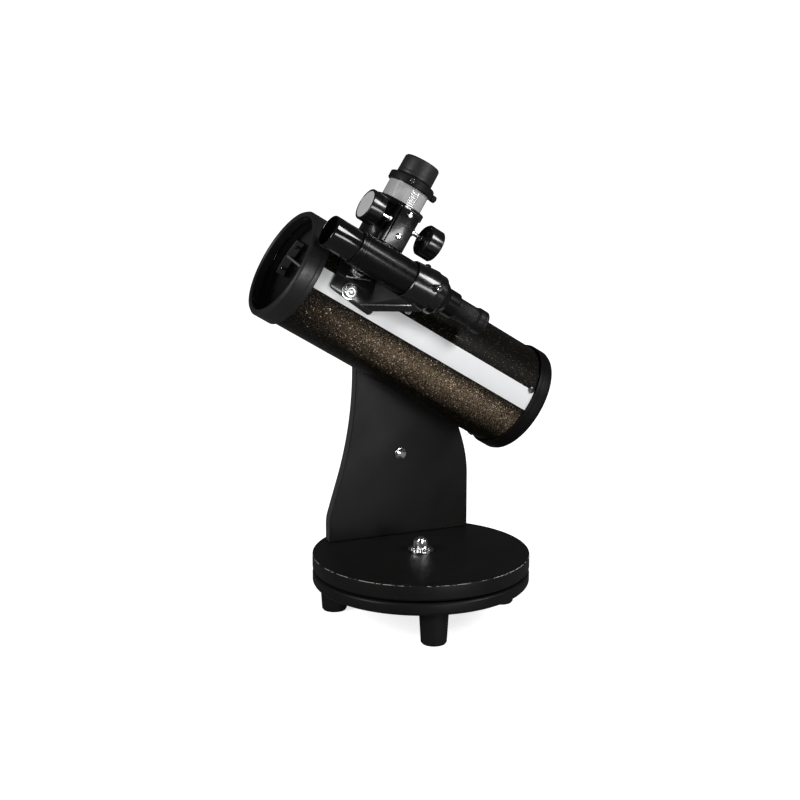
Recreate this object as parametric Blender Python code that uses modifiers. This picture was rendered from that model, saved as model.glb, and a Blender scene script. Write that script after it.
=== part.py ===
"""Tabletop newtonian reflector telescope: 76 mm aperture, 300 mm focal length, on a single-arm
rocker base that turns in azimuth and tilts in altitude.

Dimensions are in millimetres and become metres when a mesh or a place is made.
World frame: origin on the floor in the middle of the whole telescope's plan, +Z up, the tube's
front towards -X. The azimuth bolt stands AXIS_X along +X from it, and until the last step the
pieces are built with that bolt at x = 0.
Tube frame: origin on the altitude axis, x along the optical axis towards the mirror,
y as in the world, z square to the tube towards the focuser.
"""

import math

import bmesh
import bpy
from mathutils import Matrix, Vector

MM = 0.001
GAP = 0.3  # clearance kept between touching pieces
AXIS_X = 18.2  # from the middle of the plan to the azimuth axis

# Base
FOOT_HEIGHT = 32.0
FOOT_TOP_R = 14.0
FOOT_BOTTOM_R = 12.0
FOOT_CIRCLE_R = 84.0
FOOT_FRONT_ANGLE = -105.5
FOOT_SPACING = 102.0
BOARD_R = 104.0
GROUND_THICK = 12.4
BOARD_GAP = 1.6
TURNTABLE_THICK = 15.0
GROUND_TOP = FOOT_HEIGHT + GROUND_THICK
TURNTABLE_BOTTOM = GROUND_TOP + BOARD_GAP
TURNTABLE_TOP = TURNTABLE_BOTTOM + TURNTABLE_THICK
GLIDE_R = 76.0
GLIDE_WIDTH = 14.0
PIVOT_BOLT_R = 4.0
BOLT_HEAD_HEIGHT = 5.0
PIVOT_WASHER_R = 12.5
PIVOT_WASHER_THICK = 1.5
NUT_FLATS = 13.0
BOLT_RISE = 13.5  # how far the azimuth bolt stands above the turntable
NUT_HEIGHT = 9.5

# Arm
ARM_FRONT = 57.0
ARM_THICK = 12.0
ARM_LEFT = -71.9
ARM_RIGHT = 75.8
ARM_TOP_R = 43.3
ARM_FOOT_RISE = 17.0
ARM_FILLET_R = 40.0
ARM_SWEEP_R = 368.0
ARM_SWEEP_TOP = 232.0
ARM_SWEEP_ANGLE = 17.7
ARM_SHOULDER_BOTTOM = 116.0
ARM_SHOULDER_TOP = 250.0
ARM_BOLT_HEIGHT = 144.0
ARM_BOLT_X = 2.6
ARM_SCREW_X = 45.0

# Tube
PIVOT_HEIGHT = 262.0
ALTITUDE = 31.4
TUBE_R = 50.0
TUBE_INNER_R = 49.0
SADDLE_R = TUBE_R + GAP + 0.1  # what is bolted on the tube is hollowed to this
TUBE_FRONT = -157.0
TUBE_REAR = 114.6
FRONT_RING_FRONT = -160.0
FRONT_RING_REAR = -141.0
RING_R = 52.4
REAR_RING_FRONT = 102.6
REAR_RING_REAR = 118.0
STRIPE_START = 76.5
STRIPE_END = 99.0
STRIPE_THICK = 0.3
CELL_SCREW_X = 98.5
CELL_SCREW_ANGLES = (76.5, 196.5, 316.5)
BEARING_R = 28.0
BEARING_FACE = 54.9
WASHER_THICK = 1.5

# Optics
FOCAL_LENGTH = 300.0
MIRROR_R = 38.0
MIRROR_THICK = 10.0
MIRROR_FACE_X = 94.0
SECONDARY_R = 10.5
SECONDARY_THICK = 3.0
STALK_ANGLE = -76.5
STALK_SCREW_SPREAD = 15.0
STALK_X = -140.0

# Focuser
FOCUSER_X = -86.3
FOCUSER_HOLE_R = 21.5
HOUSING_TOP = 100.0
HOUSING_COLLAR_BOTTOM = 94.5
HOUSING_R = 22.6
HOUSING_COLLAR_R = 24.0
DRAWTUBE_R = 19.5
DRAWTUBE_WALL = 1.4
DRAWTUBE_BOTTOM = 56.0
COLLAR_BOTTOM = 117.0
COLLAR_TOP = 124.6
COLLAR_R = 22.1
EYEPIECE_BORE_R = 15.95
CAP_TOP = 143.5
CAP_R = 17.5
PINION_Y = -25.0
PINION_Z = 80.7
PINION_PITCH_R = 4.4
PINION_TEETH = 14
RACK_LOW = 58.0
RACK_HIGH = 115.0
RACK_BACK = -18.6
RACK_ROOT = -19.3
RACK_TIP = -20.5
RACK_WIDTH = 7.0
BLOCK_HALF_WIDTH = 11.6
BLOCK_BOTTOM = 60.0
BLOCK_TOP = 96.3
COVER_HALF_WIDTH = 9.6
COVER_INNER_Y = -30.4
COVER_OUTER_Y = -32.2
KNOB_R = 15.0
KNOB_INNER = 24.4
KNOB_OUTER = 39.6

# Finder
FINDER_Y = -65.0
FINDER_Z = 39.3
FINDER_R = 15.9
SHIELD_R = 14.8
SHIELD_FRONT = -159.4
SHIELD_REAR = -132.0
SLEEVE_FRONT = -73.5
SLEEVE_FLARE = -51.0
SLEEVE_REAR = -41.0
FINDER_PIVOT_X = -71.5
SCREW_PLANE_X = -54.0
SCREW_ANGLES = (-40.0, 80.0, 200.0)
BARREL_REAR = -21.0
EYECUP_REAR = 12.0
PLATE_FRONT = -129.0
PLATE_REAR = -82.0
PLATE_START = 54.0
PLATE_END = 93.0
STUD_X = -110.5
STUD_ANGLES = (62.5, 85.0)

# Flats round a turned shape, by its size
HUGE = 60
LARGE = 48
MEDIUM = 28
SMALL = 16
TINY = 10

TAU = 2.0 * math.pi
X_AXIS = (0.0, math.pi / 2, 0.0)  # turns a local Z into X
Y_AXIS = (-math.pi / 2, 0.0, 0.0)  # turns a local Z into Y
# An outline's plane (x, y) becomes the tube's (y, z), and its thickness runs along x.
OUTLINE_TO_YZ = Matrix(((0, 0, 1, 0), (1, 0, 0, 0), (0, 1, 0, 0), (0, 0, 0, 1)))


def clear_scene():
    for thing in list(bpy.data.objects):
        bpy.data.objects.remove(thing, do_unlink=True)


def new_collection(name, hidden=False):
    collection = bpy.data.collections.new(name)
    collection.hide_render = hidden
    bpy.context.scene.collection.children.link(collection)
    return collection


def new_material(name, colour, roughness, metallic=0.0):
    material = bpy.data.materials.new(name)
    material.use_nodes = True
    shader = material.node_tree.nodes["Principled BSDF"]
    shader.inputs["Base Color"].default_value = (*colour, 1.0)
    shader.inputs["Roughness"].default_value = roughness
    shader.inputs["Metallic"].default_value = metallic
    return material


def place(thing, location=(0, 0, 0), rotation=(0, 0, 0), parent=None):
    thing.location = Vector(location) * MM
    thing.rotation_euler = rotation
    thing.parent = parent
    return thing


def add(name, mesh, material, location=(0, 0, 0), rotation=(0, 0, 0), parent=None, smooth=35.0):
    """An object of the telescope from a mesh in metres, or a cutter where the material is None."""
    thing = bpy.data.objects.new(name, mesh)
    if material is None:
        CUTTERS.objects.link(thing)
        thing.hide_render = True
        thing.display_type = "WIRE"
    else:
        TELESCOPE.objects.link(thing)
        mesh.materials.append(material)
        mesh.shade_smooth()
        mesh.set_sharp_from_angle(angle=math.radians(smooth))
    return place(thing, location, rotation, parent)


def evaluated_mesh(thing):
    """The mesh of an object after its modifiers, with the object itself removed."""
    bpy.context.view_layer.update()
    graph = bpy.context.evaluated_depsgraph_get()
    mesh = bpy.data.meshes.new_from_object(thing.evaluated_get(graph))
    bpy.data.objects.remove(thing, do_unlink=True)
    welded = bmesh.new()
    welded.from_mesh(mesh)
    bmesh.ops.remove_doubles(welded, verts=welded.verts, dist=1e-6)
    welded.to_mesh(mesh)
    welded.free()
    return mesh


def turned_mesh(profile, steps, closed=False):
    """A profile of (radius, height) turned about Z. Its outer side runs from top to bottom."""
    points = [(r * MM, 0.0, h * MM) for r, h in profile]
    edges = [(i, i + 1) for i in range(len(points) - 1)]
    if closed:
        edges.append((len(points) - 1, 0))
    mesh = bpy.data.meshes.new("profile")
    mesh.from_pydata(points, edges, [])
    thing = bpy.data.objects.new("profile", mesh)
    TELESCOPE.objects.link(thing)
    screw = thing.modifiers.new("Turn", "SCREW")
    screw.steps = screw.render_steps = steps
    screw.use_merge_vertices = True
    screw.merge_threshold = 1e-5
    return evaluated_mesh(thing)


def solid_profile(sections):
    """A turned solid's profile on the axis from (radius, height) points listed top to bottom."""
    return [(0.0, sections[0][1]), *sections, (0.0, sections[-1][1])]


def rod_mesh(radius, bottom, top, steps, chamfer=0.0):
    """A round bar from bottom to top, with both ends chamfered."""
    sections = [(radius - chamfer, top), (radius, top - chamfer)] if chamfer else [(radius, top)]
    if chamfer:
        sections += [(radius, bottom + chamfer), (radius - chamfer, bottom)]
    else:
        sections.append((radius, bottom))
    return turned_mesh(solid_profile(sections), steps)


def prism_mesh(sides, flats, bottom, top):
    """A bar with a regular outline, so many millimetres across its flats."""
    mesh = bpy.data.meshes.new("prism")
    shape = bmesh.new()
    radius = flats / 2 / math.cos(math.pi / sides) * MM
    bmesh.ops.create_cone(
        shape, cap_ends=True, segments=sides, radius1=radius, radius2=radius, depth=(top - bottom) * MM
    )
    bmesh.ops.translate(shape, verts=shape.verts, vec=(0, 0, (top + bottom) / 2 * MM))
    shape.to_mesh(mesh)
    shape.free()
    return mesh


def box_mesh(low, high):
    mesh = bpy.data.meshes.new("box")
    shape = bmesh.new()
    bmesh.ops.create_cube(shape, size=1.0)
    size = [(b - a) * MM for a, b in zip(low, high)]
    middle = [(a + b) / 2 * MM for a, b in zip(low, high)]
    bmesh.ops.scale(shape, verts=shape.verts, vec=size)
    bmesh.ops.translate(shape, verts=shape.verts, vec=middle)
    shape.to_mesh(mesh)
    shape.free()
    return mesh


def outline_mesh(points, thickness):
    """A flat outline in XY made into a plate, centred on the outline's plane."""
    curve = bpy.data.curves.new("outline", "CURVE")
    curve.dimensions = "2D"
    curve.fill_mode = "BOTH"
    curve.extrude = thickness / 2 * MM
    spline = curve.splines.new("POLY")
    spline.points.add(len(points) - 1)
    for point, (x, y) in zip(spline.points, points):
        point.co = (x * MM, y * MM, 0.0, 1.0)
    spline.use_cyclic_u = True
    thing = bpy.data.objects.new("outline", curve)
    TELESCOPE.objects.link(thing)
    return evaluated_mesh(thing)


def hull_mesh(points):
    """The tight skin round a few corner points: a sloping rib or web."""
    mesh = bpy.data.meshes.new("hull")
    shape = bmesh.new()
    for point in points:
        shape.verts.new(Vector(point) * MM)
    bmesh.ops.convex_hull(shape, input=shape.verts)
    bmesh.ops.recalc_face_normals(shape, faces=shape.faces)
    shape.to_mesh(mesh)
    shape.free()
    return mesh


def boolean(target, other, operation="DIFFERENCE"):
    modifier = target.modifiers.new(other.name, "BOOLEAN")
    modifier.operation = operation
    modifier.solver = "EXACT"
    modifier.object = other


def cut(target, name, mesh, location=(0, 0, 0), rotation=(0, 0, 0), parent=None):
    boolean(target, add(name, mesh, None, location, rotation, parent))


def join(target, name, mesh, location=(0, 0, 0), rotation=(0, 0, 0), parent=None):
    boolean(target, add(name, mesh, None, location, rotation, parent), "UNION")


def bevel(thing, width, angle=40.0, segments=2):
    modifier = thing.modifiers.new("Edges", "BEVEL")
    modifier.width = width * MM
    modifier.segments = segments
    modifier.limit_method = "ANGLE"
    modifier.angle_limit = math.radians(angle)


def arc(centre, radius, start, end, count):
    """Points on an arc in a plane, from start to end in degrees."""
    return [
        (
            centre[0] + radius * math.cos(math.radians(start + (end - start) * i / count)),
            centre[1] + radius * math.sin(math.radians(start + (end - start) * i / count)),
        )
        for i in range(count + 1)
    ]


def round_tube(angle, radius):
    """(y, z) of a point round the tube's axis, at degrees from the top towards the near side."""
    turn = math.radians(angle)
    return -radius * math.sin(turn), radius * math.cos(turn)


def radial(angle):
    """The rotation that points a local Z outwards at that angle round the tube."""
    return (math.radians(angle), 0.0, 0.0)


def shell_sector(inner, outer, start, end, front, rear, steps):
    """A curved plate between two radii round the tube's axis, in the tube frame."""
    points = []
    for r, sweep in ((outer, 1), (inner, -1)):
        ends = (start, end) if sweep > 0 else (end, start)
        for i in range(steps + 1):
            angle = ends[0] + (ends[1] - ends[0]) * i / steps
            points.append(round_tube(angle, r))
    mesh = outline_mesh(points, rear - front)
    mesh.transform(OUTLINE_TO_YZ)
    mesh.transform(Matrix.Translation(((front + rear) / 2 * MM, 0, 0)))
    return mesh


# ---------------------------------------------------------------- base


def build_base():
    ground = add("ground_board", board_mesh(FOOT_HEIGHT, GROUND_TOP, 2.0, 2.0), LAMINATE)
    cut(ground, "ground_bore", rod_mesh(PIVOT_BOLT_R + GAP, FOOT_HEIGHT - 5, GROUND_TOP + 5, SMALL))
    recess_top = FOOT_HEIGHT + BOLT_HEAD_HEIGHT + 0.8
    cut(ground, "bolt_recess", rod_mesh(9.0, FOOT_HEIGHT - 5, recess_top, SMALL))
    for i, turn in enumerate((0.0, FOOT_SPACING, -FOOT_SPACING)):
        angle = math.radians(FOOT_FRONT_ANGLE + turn)
        spot = (FOOT_CIRCLE_R * math.cos(angle), FOOT_CIRCLE_R * math.sin(angle), 0.0)
        cut(ground, f"foot_hole_{i + 1}", rod_mesh(2.4, FOOT_HEIGHT - 5, FOOT_HEIGHT + 9.5, TINY), spot)
        build_foot(i + 1, spot)
    low, high = GROUND_TOP + GAP, TURNTABLE_BOTTOM - GAP
    inner, outer = GLIDE_R - GLIDE_WIDTH / 2, GLIDE_R + GLIDE_WIDTH / 2
    ring = [(outer, high), (outer, low), (inner, low), (inner, high)]
    add("glide_ring", turned_mesh(ring, LARGE, closed=True), NYLON)
    build_azimuth_bolt()


def board_mesh(bottom, top, top_round, bottom_round):
    """A round board with rounded rims."""
    sections = arc((BOARD_R - top_round, top - top_round), top_round, 90, 0, 2)
    sections += arc((BOARD_R - bottom_round, bottom + bottom_round), bottom_round, 0, -90, 2)
    return turned_mesh(solid_profile(sections), HUGE)


def build_foot(number, spot):
    foot = add(
        f"foot_{number}",
        turned_mesh(
            solid_profile(
                [
                    (FOOT_TOP_R, FOOT_HEIGHT - GAP),
                    (FOOT_BOTTOM_R + 0.1, 1.2),
                    (FOOT_BOTTOM_R - 1.1, 0.0),
                ]
            ),
            MEDIUM,
        ),
        FOOT_PLASTIC,
        spot,
    )
    cut(foot, f"foot_recess_{number}", rod_mesh(5.0, -5.0, 18.0, TINY), spot)
    cut(foot, f"foot_bore_{number}", rod_mesh(2.4, 10.0, FOOT_HEIGHT + 5.0, TINY), spot)
    head_top = 17.7
    screw = turned_mesh(
        solid_profile(
            [
                (1.4, FOOT_HEIGHT + 9.0),
                (2.0, FOOT_HEIGHT + 7.5),
                (2.0, head_top),
                (4.2, head_top),
                (4.2, head_top - 1.6),
                (2.6, head_top - 2.8),
            ]
        ),
        TINY,
    )
    add(f"foot_screw_{number}", screw, STEEL, spot)


def build_azimuth_bolt():
    rod = rod_mesh(PIVOT_BOLT_R, FOOT_HEIGHT + 2.0, TURNTABLE_TOP + BOLT_RISE, SMALL, 0.8)
    bolt = add("azimuth_bolt", rod, CHROME)
    head_low = FOOT_HEIGHT + 0.5
    join(bolt, "bolt_head", prism_mesh(6, NUT_FLATS, head_low, head_low + BOLT_HEAD_HEIGHT))
    low = TURNTABLE_TOP + GAP
    high = low + PIVOT_WASHER_THICK
    bore = PIVOT_BOLT_R + GAP
    washer = [(PIVOT_WASHER_R, high), (PIVOT_WASHER_R, low), (bore, low), (bore, high)]
    add("azimuth_washer", turned_mesh(washer, MEDIUM, closed=True), CHROME)
    nut = add("azimuth_nut", prism_mesh(6, NUT_FLATS, high + GAP, high + GAP + NUT_HEIGHT), CHROME)
    cut(nut, "nut_bore", rod_mesh(bore, high - 3, high + NUT_HEIGHT + 5, SMALL))


def build_turntable():
    turntable = add("turntable", board_mesh(TURNTABLE_BOTTOM, TURNTABLE_TOP, 0.5, 1.6), LAMINATE)
    bore = PIVOT_BOLT_R + 0.5
    cut(turntable, "turntable_bore", rod_mesh(bore, TURNTABLE_BOTTOM - 5, TURNTABLE_TOP + 5, SMALL))
    middle = ARM_FRONT + ARM_THICK / 2
    arm = build_arm()
    for i, x in enumerate((-ARM_SCREW_X, ARM_SCREW_X)):
        spot = (x, middle, 0.0)
        low, tip = TURNTABLE_BOTTOM + 0.5, TURNTABLE_TOP + 32.0
        cut(turntable, f"screw_clearance_{i + 1}", rod_mesh(2.9, low - 5, TURNTABLE_TOP + 5, TINY), spot)
        cut(turntable, f"head_clearance_{i + 1}", rod_mesh(5.0, low - 5, low + 4.0, TINY), spot)
        cut(arm, f"arm_pilot_{i + 1}", rod_mesh(2.9, TURNTABLE_TOP - 5, tip + 0.5, TINY), spot)
        screw = [(1.2, tip), (2.5, tip - 3.0), (2.5, low + 3.6), (4.6, low + 3.6), (4.6, low)]
        add(f"arm_screw_{i + 1}", turned_mesh(solid_profile(screw), TINY), STEEL, spot)


def arm_outline():
    """The arm's outline in (x, z): a sweep on its left, a shoulder on its right, a round top."""
    bottom = TURNTABLE_TOP + GAP
    points = [(ARM_RIGHT, bottom), (ARM_LEFT, bottom)]
    foot_top = TURNTABLE_TOP + ARM_FOOT_RISE
    points += arc((ARM_LEFT + ARM_FILLET_R, foot_top), ARM_FILLET_R, 180, 180 - ARM_SWEEP_ANGLE, 3)
    points += arc((-ARM_TOP_R - ARM_SWEEP_R, ARM_SWEEP_TOP), ARM_SWEEP_R, -ARM_SWEEP_ANGLE, 0, 8)
    points += arc((0.0, PIVOT_HEIGHT), ARM_TOP_R, 180, 0, 20)
    steps = 10
    for i in range(steps + 1):
        height = ARM_SHOULDER_TOP + (ARM_SHOULDER_BOTTOM - ARM_SHOULDER_TOP) * i / steps
        share = (1 - math.cos(math.pi * i / steps)) / 2
        points.append((ARM_TOP_R + (ARM_RIGHT - ARM_TOP_R) * share, height))
    return points


def build_arm():
    mesh = outline_mesh([(x, -z) for x, z in arm_outline()], ARM_THICK)
    arm = add("arm", mesh, LAMINATE, (0, ARM_FRONT + ARM_THICK / 2, 0), Y_AXIS)
    bevel(arm, 0.7, segments=1)
    through = (ARM_FRONT - 5, ARM_FRONT + ARM_THICK + 5)
    cut(arm, "arm_pivot_bore", rod_mesh(PIVOT_BOLT_R + GAP, *through, SMALL), (0, 0, PIVOT_HEIGHT), Y_AXIS)
    spot = (ARM_BOLT_X, 0, ARM_BOLT_HEIGHT)
    cut(arm, "arm_bolt_bore", rod_mesh(2.8, ARM_FRONT - 5, ARM_FRONT + 9.5, TINY), spot, Y_AXIS)
    bolt = add("arm_bolt", rod_mesh(2.5, ARM_FRONT - 2.5, ARM_FRONT + 9.0, TINY), CHROME, spot, Y_AXIS)
    join(bolt, "arm_bolt_head", prism_mesh(6, 9.0, ARM_FRONT - 4.6, ARM_FRONT - GAP), spot, Y_AXIS)
    return arm


def build_tension_knob():
    """The hand knob behind the arm, and its bolt, which draws the tube's bearing onto the arm."""
    centre = (0, 0, PIVOT_HEIGHT)
    back = ARM_FRONT + ARM_THICK
    knob_front = back + GAP
    hub_r, grip_r, grip_front, knob_back = 13.0, 21.0, knob_front + 6.0, knob_front + 22.0
    knob = turned_mesh(
        solid_profile(
            [
                (grip_r - 3.0, knob_back),
                (grip_r, knob_back - 2.5),
                (grip_r, grip_front),
                (hub_r, grip_front - 2.0),
                (hub_r, knob_front),
            ]
        ),
        MEDIUM,
    )
    knob = add("tension_knob", knob, BLACK_PLASTIC, centre, Y_AXIS)
    lobes = 8
    for i in range(lobes):
        turn = TAU * i / lobes
        spot = ((grip_r + 2.2) * math.cos(turn), 0, PIVOT_HEIGHT + (grip_r + 2.2) * math.sin(turn))
        cut(knob, f"knob_scallop_{i + 1}", rod_mesh(4.6, grip_front - 3, knob_back + 3, TINY), spot, Y_AXIS)
    bolt_end = knob_back - 8.0
    bore = rod_mesh(PIVOT_BOLT_R + GAP, knob_front - 5, bolt_end + 0.5, SMALL)
    cut(knob, "knob_bore", bore, centre, Y_AXIS)
    add("altitude_bolt", rod_mesh(PIVOT_BOLT_R, 42.0, bolt_end, SMALL, 0.8), CHROME, centre, Y_AXIS)
    low, high = BEARING_FACE + GAP, BEARING_FACE + GAP + WASHER_THICK
    outer, bore = 24.0, PIVOT_BOLT_R + 0.5
    washer = [(outer, high), (outer, low), (bore, low), (bore, high)]
    add("altitude_washer", turned_mesh(washer, MEDIUM, closed=True), NYLON, centre, Y_AXIS)


# ---------------------------------------------------------------- tube and optics


def build_tube(tube_frame):
    walls = [(TUBE_R, TUBE_REAR), (TUBE_R, TUBE_FRONT)]
    walls += [(TUBE_INNER_R, TUBE_FRONT), (TUBE_INNER_R, TUBE_REAR)]
    mesh = turned_mesh(walls, HUGE, closed=True)
    tube = add("optical_tube", mesh, TUBE_PAINT, (0, 0, 0), X_AXIS, tube_frame)
    hole = rod_mesh(FOCUSER_HOLE_R, 30, 60, MEDIUM)
    cut(tube, "focuser_hole", hole, (FOCUSER_X, 0, 0), parent=tube_frame)
    cut(tube, "pivot_hole", rod_mesh(PIVOT_BOLT_R + 0.5, 40, 60, SMALL), (0, 0, 0), Y_AXIS, tube_frame)
    for i, angle in enumerate(CELL_SCREW_ANGLES):
        spot = (CELL_SCREW_X, 0, 0)
        cut(tube, f"cell_hole_{i + 1}", rod_mesh(1.7, 40, 60, TINY), spot, radial(angle), tube_frame)
    for i, angle in enumerate(STUD_ANGLES):
        spot = (STUD_X, 0, 0)
        cut(tube, f"stud_hole_{i + 1}", rod_mesh(2.4, 40, 60, TINY), spot, radial(angle), tube_frame)
    for i, side in enumerate((-1, 1)):
        turn = radial(STALK_ANGLE + side * STALK_SCREW_SPREAD)
        cut(tube, f"stalk_hole_{i + 1}", rod_mesh(1.7, 40, 60, TINY), (STALK_X, 0, 0), turn, tube_frame)
    build_stripe(tube_frame)
    build_rings(tube_frame)


def build_stripe(tube_frame):
    """A white stripe along the near side, between the two rings and clear of what is bolted on."""
    low, front, rear = TUBE_R + 0.02, FRONT_RING_REAR + GAP, REAR_RING_FRONT - GAP
    mesh = shell_sector(low, low + STRIPE_THICK, STRIPE_START, STRIPE_END, front, rear, 8)
    stripe = add("side_stripe", mesh, WHITE_PAINT, parent=tube_frame)
    start, end = PLATE_START - 0.4, PLATE_END + 0.4
    front, rear = PLATE_FRONT - GAP, PLATE_REAR + GAP
    plate = shell_sector(TUBE_R - 3, TUBE_R + 6, start, end, front, rear, 12)
    cut(stripe, "plate_clearance", plate, parent=tube_frame)
    spot, turn = (CELL_SCREW_X, 0, 0), radial(CELL_SCREW_ANGLES[0])
    cut(stripe, "stripe_screw_clearance", rod_mesh(3.9, 40, 60, TINY), spot, turn, tube_frame)


def build_rings(tube_frame):
    slot_outer, slot_inner = TUBE_R + 0.35, TUBE_INNER_R - GAP
    front = [(RING_R, FRONT_RING_REAR)]
    front += arc((RING_R - 1.6, FRONT_RING_FRONT + 1.6), 1.6, 0, -90, 2)
    front += arc((48.0, FRONT_RING_FRONT + 1.2), 1.2, -90, -180, 1)
    front += [(46.8, FRONT_RING_REAR - 2.0), (slot_inner, FRONT_RING_REAR - 2.0)]
    front += [(slot_inner, TUBE_FRONT - GAP), (slot_outer, TUBE_FRONT - GAP)]
    front.append((slot_outer, FRONT_RING_REAR))
    mesh = turned_mesh(front, LARGE, closed=True)
    ring = add("front_ring", mesh, RING_PLASTIC, (0, 0, 0), X_AXIS, tube_frame)
    for i, side in enumerate((-1, 1)):
        turn = radial(STALK_ANGLE + side * STALK_SCREW_SPREAD)
        cut(ring, f"ring_notch_{i + 1}", rod_mesh(4.4, 40, 60, TINY), (STALK_X, 0, 0), turn, tube_frame)

    recess_r, recess_floor, sleeve_r, skirt_r = 36.0, 108.0, 42.0, 46.2
    seat = MIRROR_FACE_X + MIRROR_THICK + GAP
    rear = [(0.0, recess_floor), (recess_r, recess_floor), (recess_r, REAR_RING_REAR)]
    rear += arc((RING_R - 3.4, REAR_RING_REAR - 3.4), 3.4, 90, 0, 3)
    rear += [(RING_R, REAR_RING_FRONT), (slot_outer, REAR_RING_FRONT)]
    rear += [(slot_outer, TUBE_REAR + GAP), (slot_inner, TUBE_REAR + GAP)]
    rear += [(slot_inner, CELL_SCREW_X - 4.5), (skirt_r, CELL_SCREW_X - 4.5), (skirt_r, 112.5)]
    rear += [(sleeve_r, 112.5), (sleeve_r, MIRROR_FACE_X - 0.4)]
    rear += [(MIRROR_R + GAP, MIRROR_FACE_X - 0.4), (MIRROR_R + GAP, seat), (0.0, seat)]
    cell = add("rear_cell", turned_mesh(rear, LARGE), RING_PLASTIC, (0, 0, 0), X_AXIS, tube_frame)
    for i, angle in enumerate(CELL_SCREW_ANGLES):
        spot, turn = (CELL_SCREW_X, 0, 0), radial(angle)
        cut(cell, f"cell_pilot_{i + 1}", rod_mesh(1.7, 44, 60, TINY), spot, turn, tube_frame)
        head = TUBE_R + 0.75
        screw = [(1.6, head + 2.0), (2.8, head + 1.2), (3.2, head), (1.4, head), (1.4, 46.6)]
        mesh = turned_mesh(solid_profile(screw), TINY)
        add(f"cell_screw_{i + 1}", mesh, BLACK_SCREW, spot, turn, tube_frame)


def build_primary(tube_frame):
    """The mirror with its hollow face, and the ring that keeps it in its cell."""
    face = [(0.0, MIRROR_FACE_X + MIRROR_THICK), (MIRROR_R, MIRROR_FACE_X + MIRROR_THICK)]
    steps = 4
    for i in range(steps + 1):
        r = MIRROR_R * (1 - i / steps)
        depth = (MIRROR_R**2 - r**2) / (4 * FOCAL_LENGTH)
        face.append((r, MIRROR_FACE_X + depth))
    add("primary_mirror", turned_mesh(face, MEDIUM), MIRROR, (0, 0, 0), X_AXIS, tube_frame)
    low, high = MIRROR_FACE_X - 2.3, MIRROR_FACE_X - 0.4 - GAP
    ring = [(42.0, high), (42.0, low), (36.6, low), (36.6, high)]
    mesh = turned_mesh(ring, MEDIUM, closed=True)
    add("mirror_retainer", mesh, BLACK_PLASTIC, (0, 0, 0), X_AXIS, tube_frame)


def build_secondary(tube_frame):
    """A slanted flat mirror on a holder, carried by one bent stalk from the far wall."""
    y, z = round_tube(STALK_ANGLE, 1.0)
    outwards = Vector((0.0, y, z))
    aside = Vector((0.0, -z, y))
    along = Vector((1.0, 0.0, 0.0))

    def spot(x, out, side=0.0):
        return along * x + outwards * out + aside * side

    foot_low, foot_high = TUBE_INNER_R - GAP - 1.9, TUBE_INNER_R - GAP
    start, end = STALK_ANGLE - 22, STALK_ANGLE + 22
    foot = shell_sector(foot_low, foot_high, start, end, STALK_X - 2.6, STALK_X + 5.4, 8)
    hub_front, hub_rear = FOCUSER_X - 26.0, FOCUSER_X - 13.5
    stalk = add("spider_stalk", foot, BLACK_METAL, parent=tube_frame)
    ends = [(STALK_X - 2.0, 47.6), (STALK_X + 5.0, 47.6)]
    ends += [(hub_front + 1.5, 6.0), (hub_front + 8.5, 6.0)]
    blade = [spot(x, out, side) for side in (-1.0, 1.0) for x, out in ends]
    join(stalk, "stalk_blade", hull_mesh(blade), parent=tube_frame)
    hub = [(9.0, hub_rear - 2), (9.0, hub_front), (4.3, hub_front), (4.3, hub_rear - 2)]
    hub = turned_mesh(hub, SMALL, closed=True)
    join(stalk, "stalk_hub", hub, (0, 0, 0), X_AXIS, tube_frame)
    for i, side in enumerate((-1, 1)):
        turn = radial(STALK_ANGLE + side * STALK_SCREW_SPREAD)
        cut(stalk, f"lug_hole_{i + 1}", rod_mesh(1.7, 40, 60, TINY), (STALK_X, 0, 0), turn, tube_frame)
        screw = [(2.9, 51.6), (2.9, 50.3), (1.4, 50.3), (1.4, 43.5)]
        mesh = turned_mesh(solid_profile(screw), TINY)
        add(f"stalk_screw_{i + 1}", mesh, STEEL, (STALK_X, 0, 0), turn, tube_frame)

    # The holder is a round bar cut off at 45 degrees, so its face turns the light to the focuser.
    bar = [(SECONDARY_R, FOCUSER_X + 12), (SECONDARY_R, hub_rear - 1)]
    bar += [(4.0, hub_rear - 1), (4.0, hub_front - 1)]
    mesh = turned_mesh(solid_profile(bar), MEDIUM)
    holder = add("secondary_holder", mesh, BLACK_METAL, (0, 0, 0), X_AXIS, tube_frame)
    slant = (0.0, math.radians(45.0), 0.0)
    centre = (FOCUSER_X, 0, 0)
    beyond = box_mesh((-40, -40, -SECONDARY_THICK - GAP), (40, 40, 40))
    cut(holder, "holder_slant", beyond, centre, slant, tube_frame)
    mesh = rod_mesh(SECONDARY_R, -40, 40, MEDIUM)
    face = add("secondary_mirror", mesh, MIRROR, centre, X_AXIS, tube_frame)
    slab = box_mesh((-25, -25, -SECONDARY_THICK), (25, 25, 0))
    boolean(face, add("mirror_slab", slab, None, centre, slant, tube_frame), "INTERSECT")


def build_bearing(tube_frame):
    """The round saddle block between the tube and the arm."""
    centre = (0, 0, 0)
    mesh = rod_mesh(BEARING_R, 38, BEARING_FACE, MEDIUM, 0.8)
    block = add("altitude_bearing", mesh, BLACK_PLASTIC, centre, Y_AXIS, tube_frame)
    cut(block, "bearing_saddle", rod_mesh(SADDLE_R, -60, 60, HUGE), centre, X_AXIS, tube_frame)
    bore = rod_mesh(PIVOT_BOLT_R + GAP, 30, 60, SMALL)
    cut(block, "bearing_bore", bore, centre, Y_AXIS, tube_frame)


# ---------------------------------------------------------------- focuser


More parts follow.
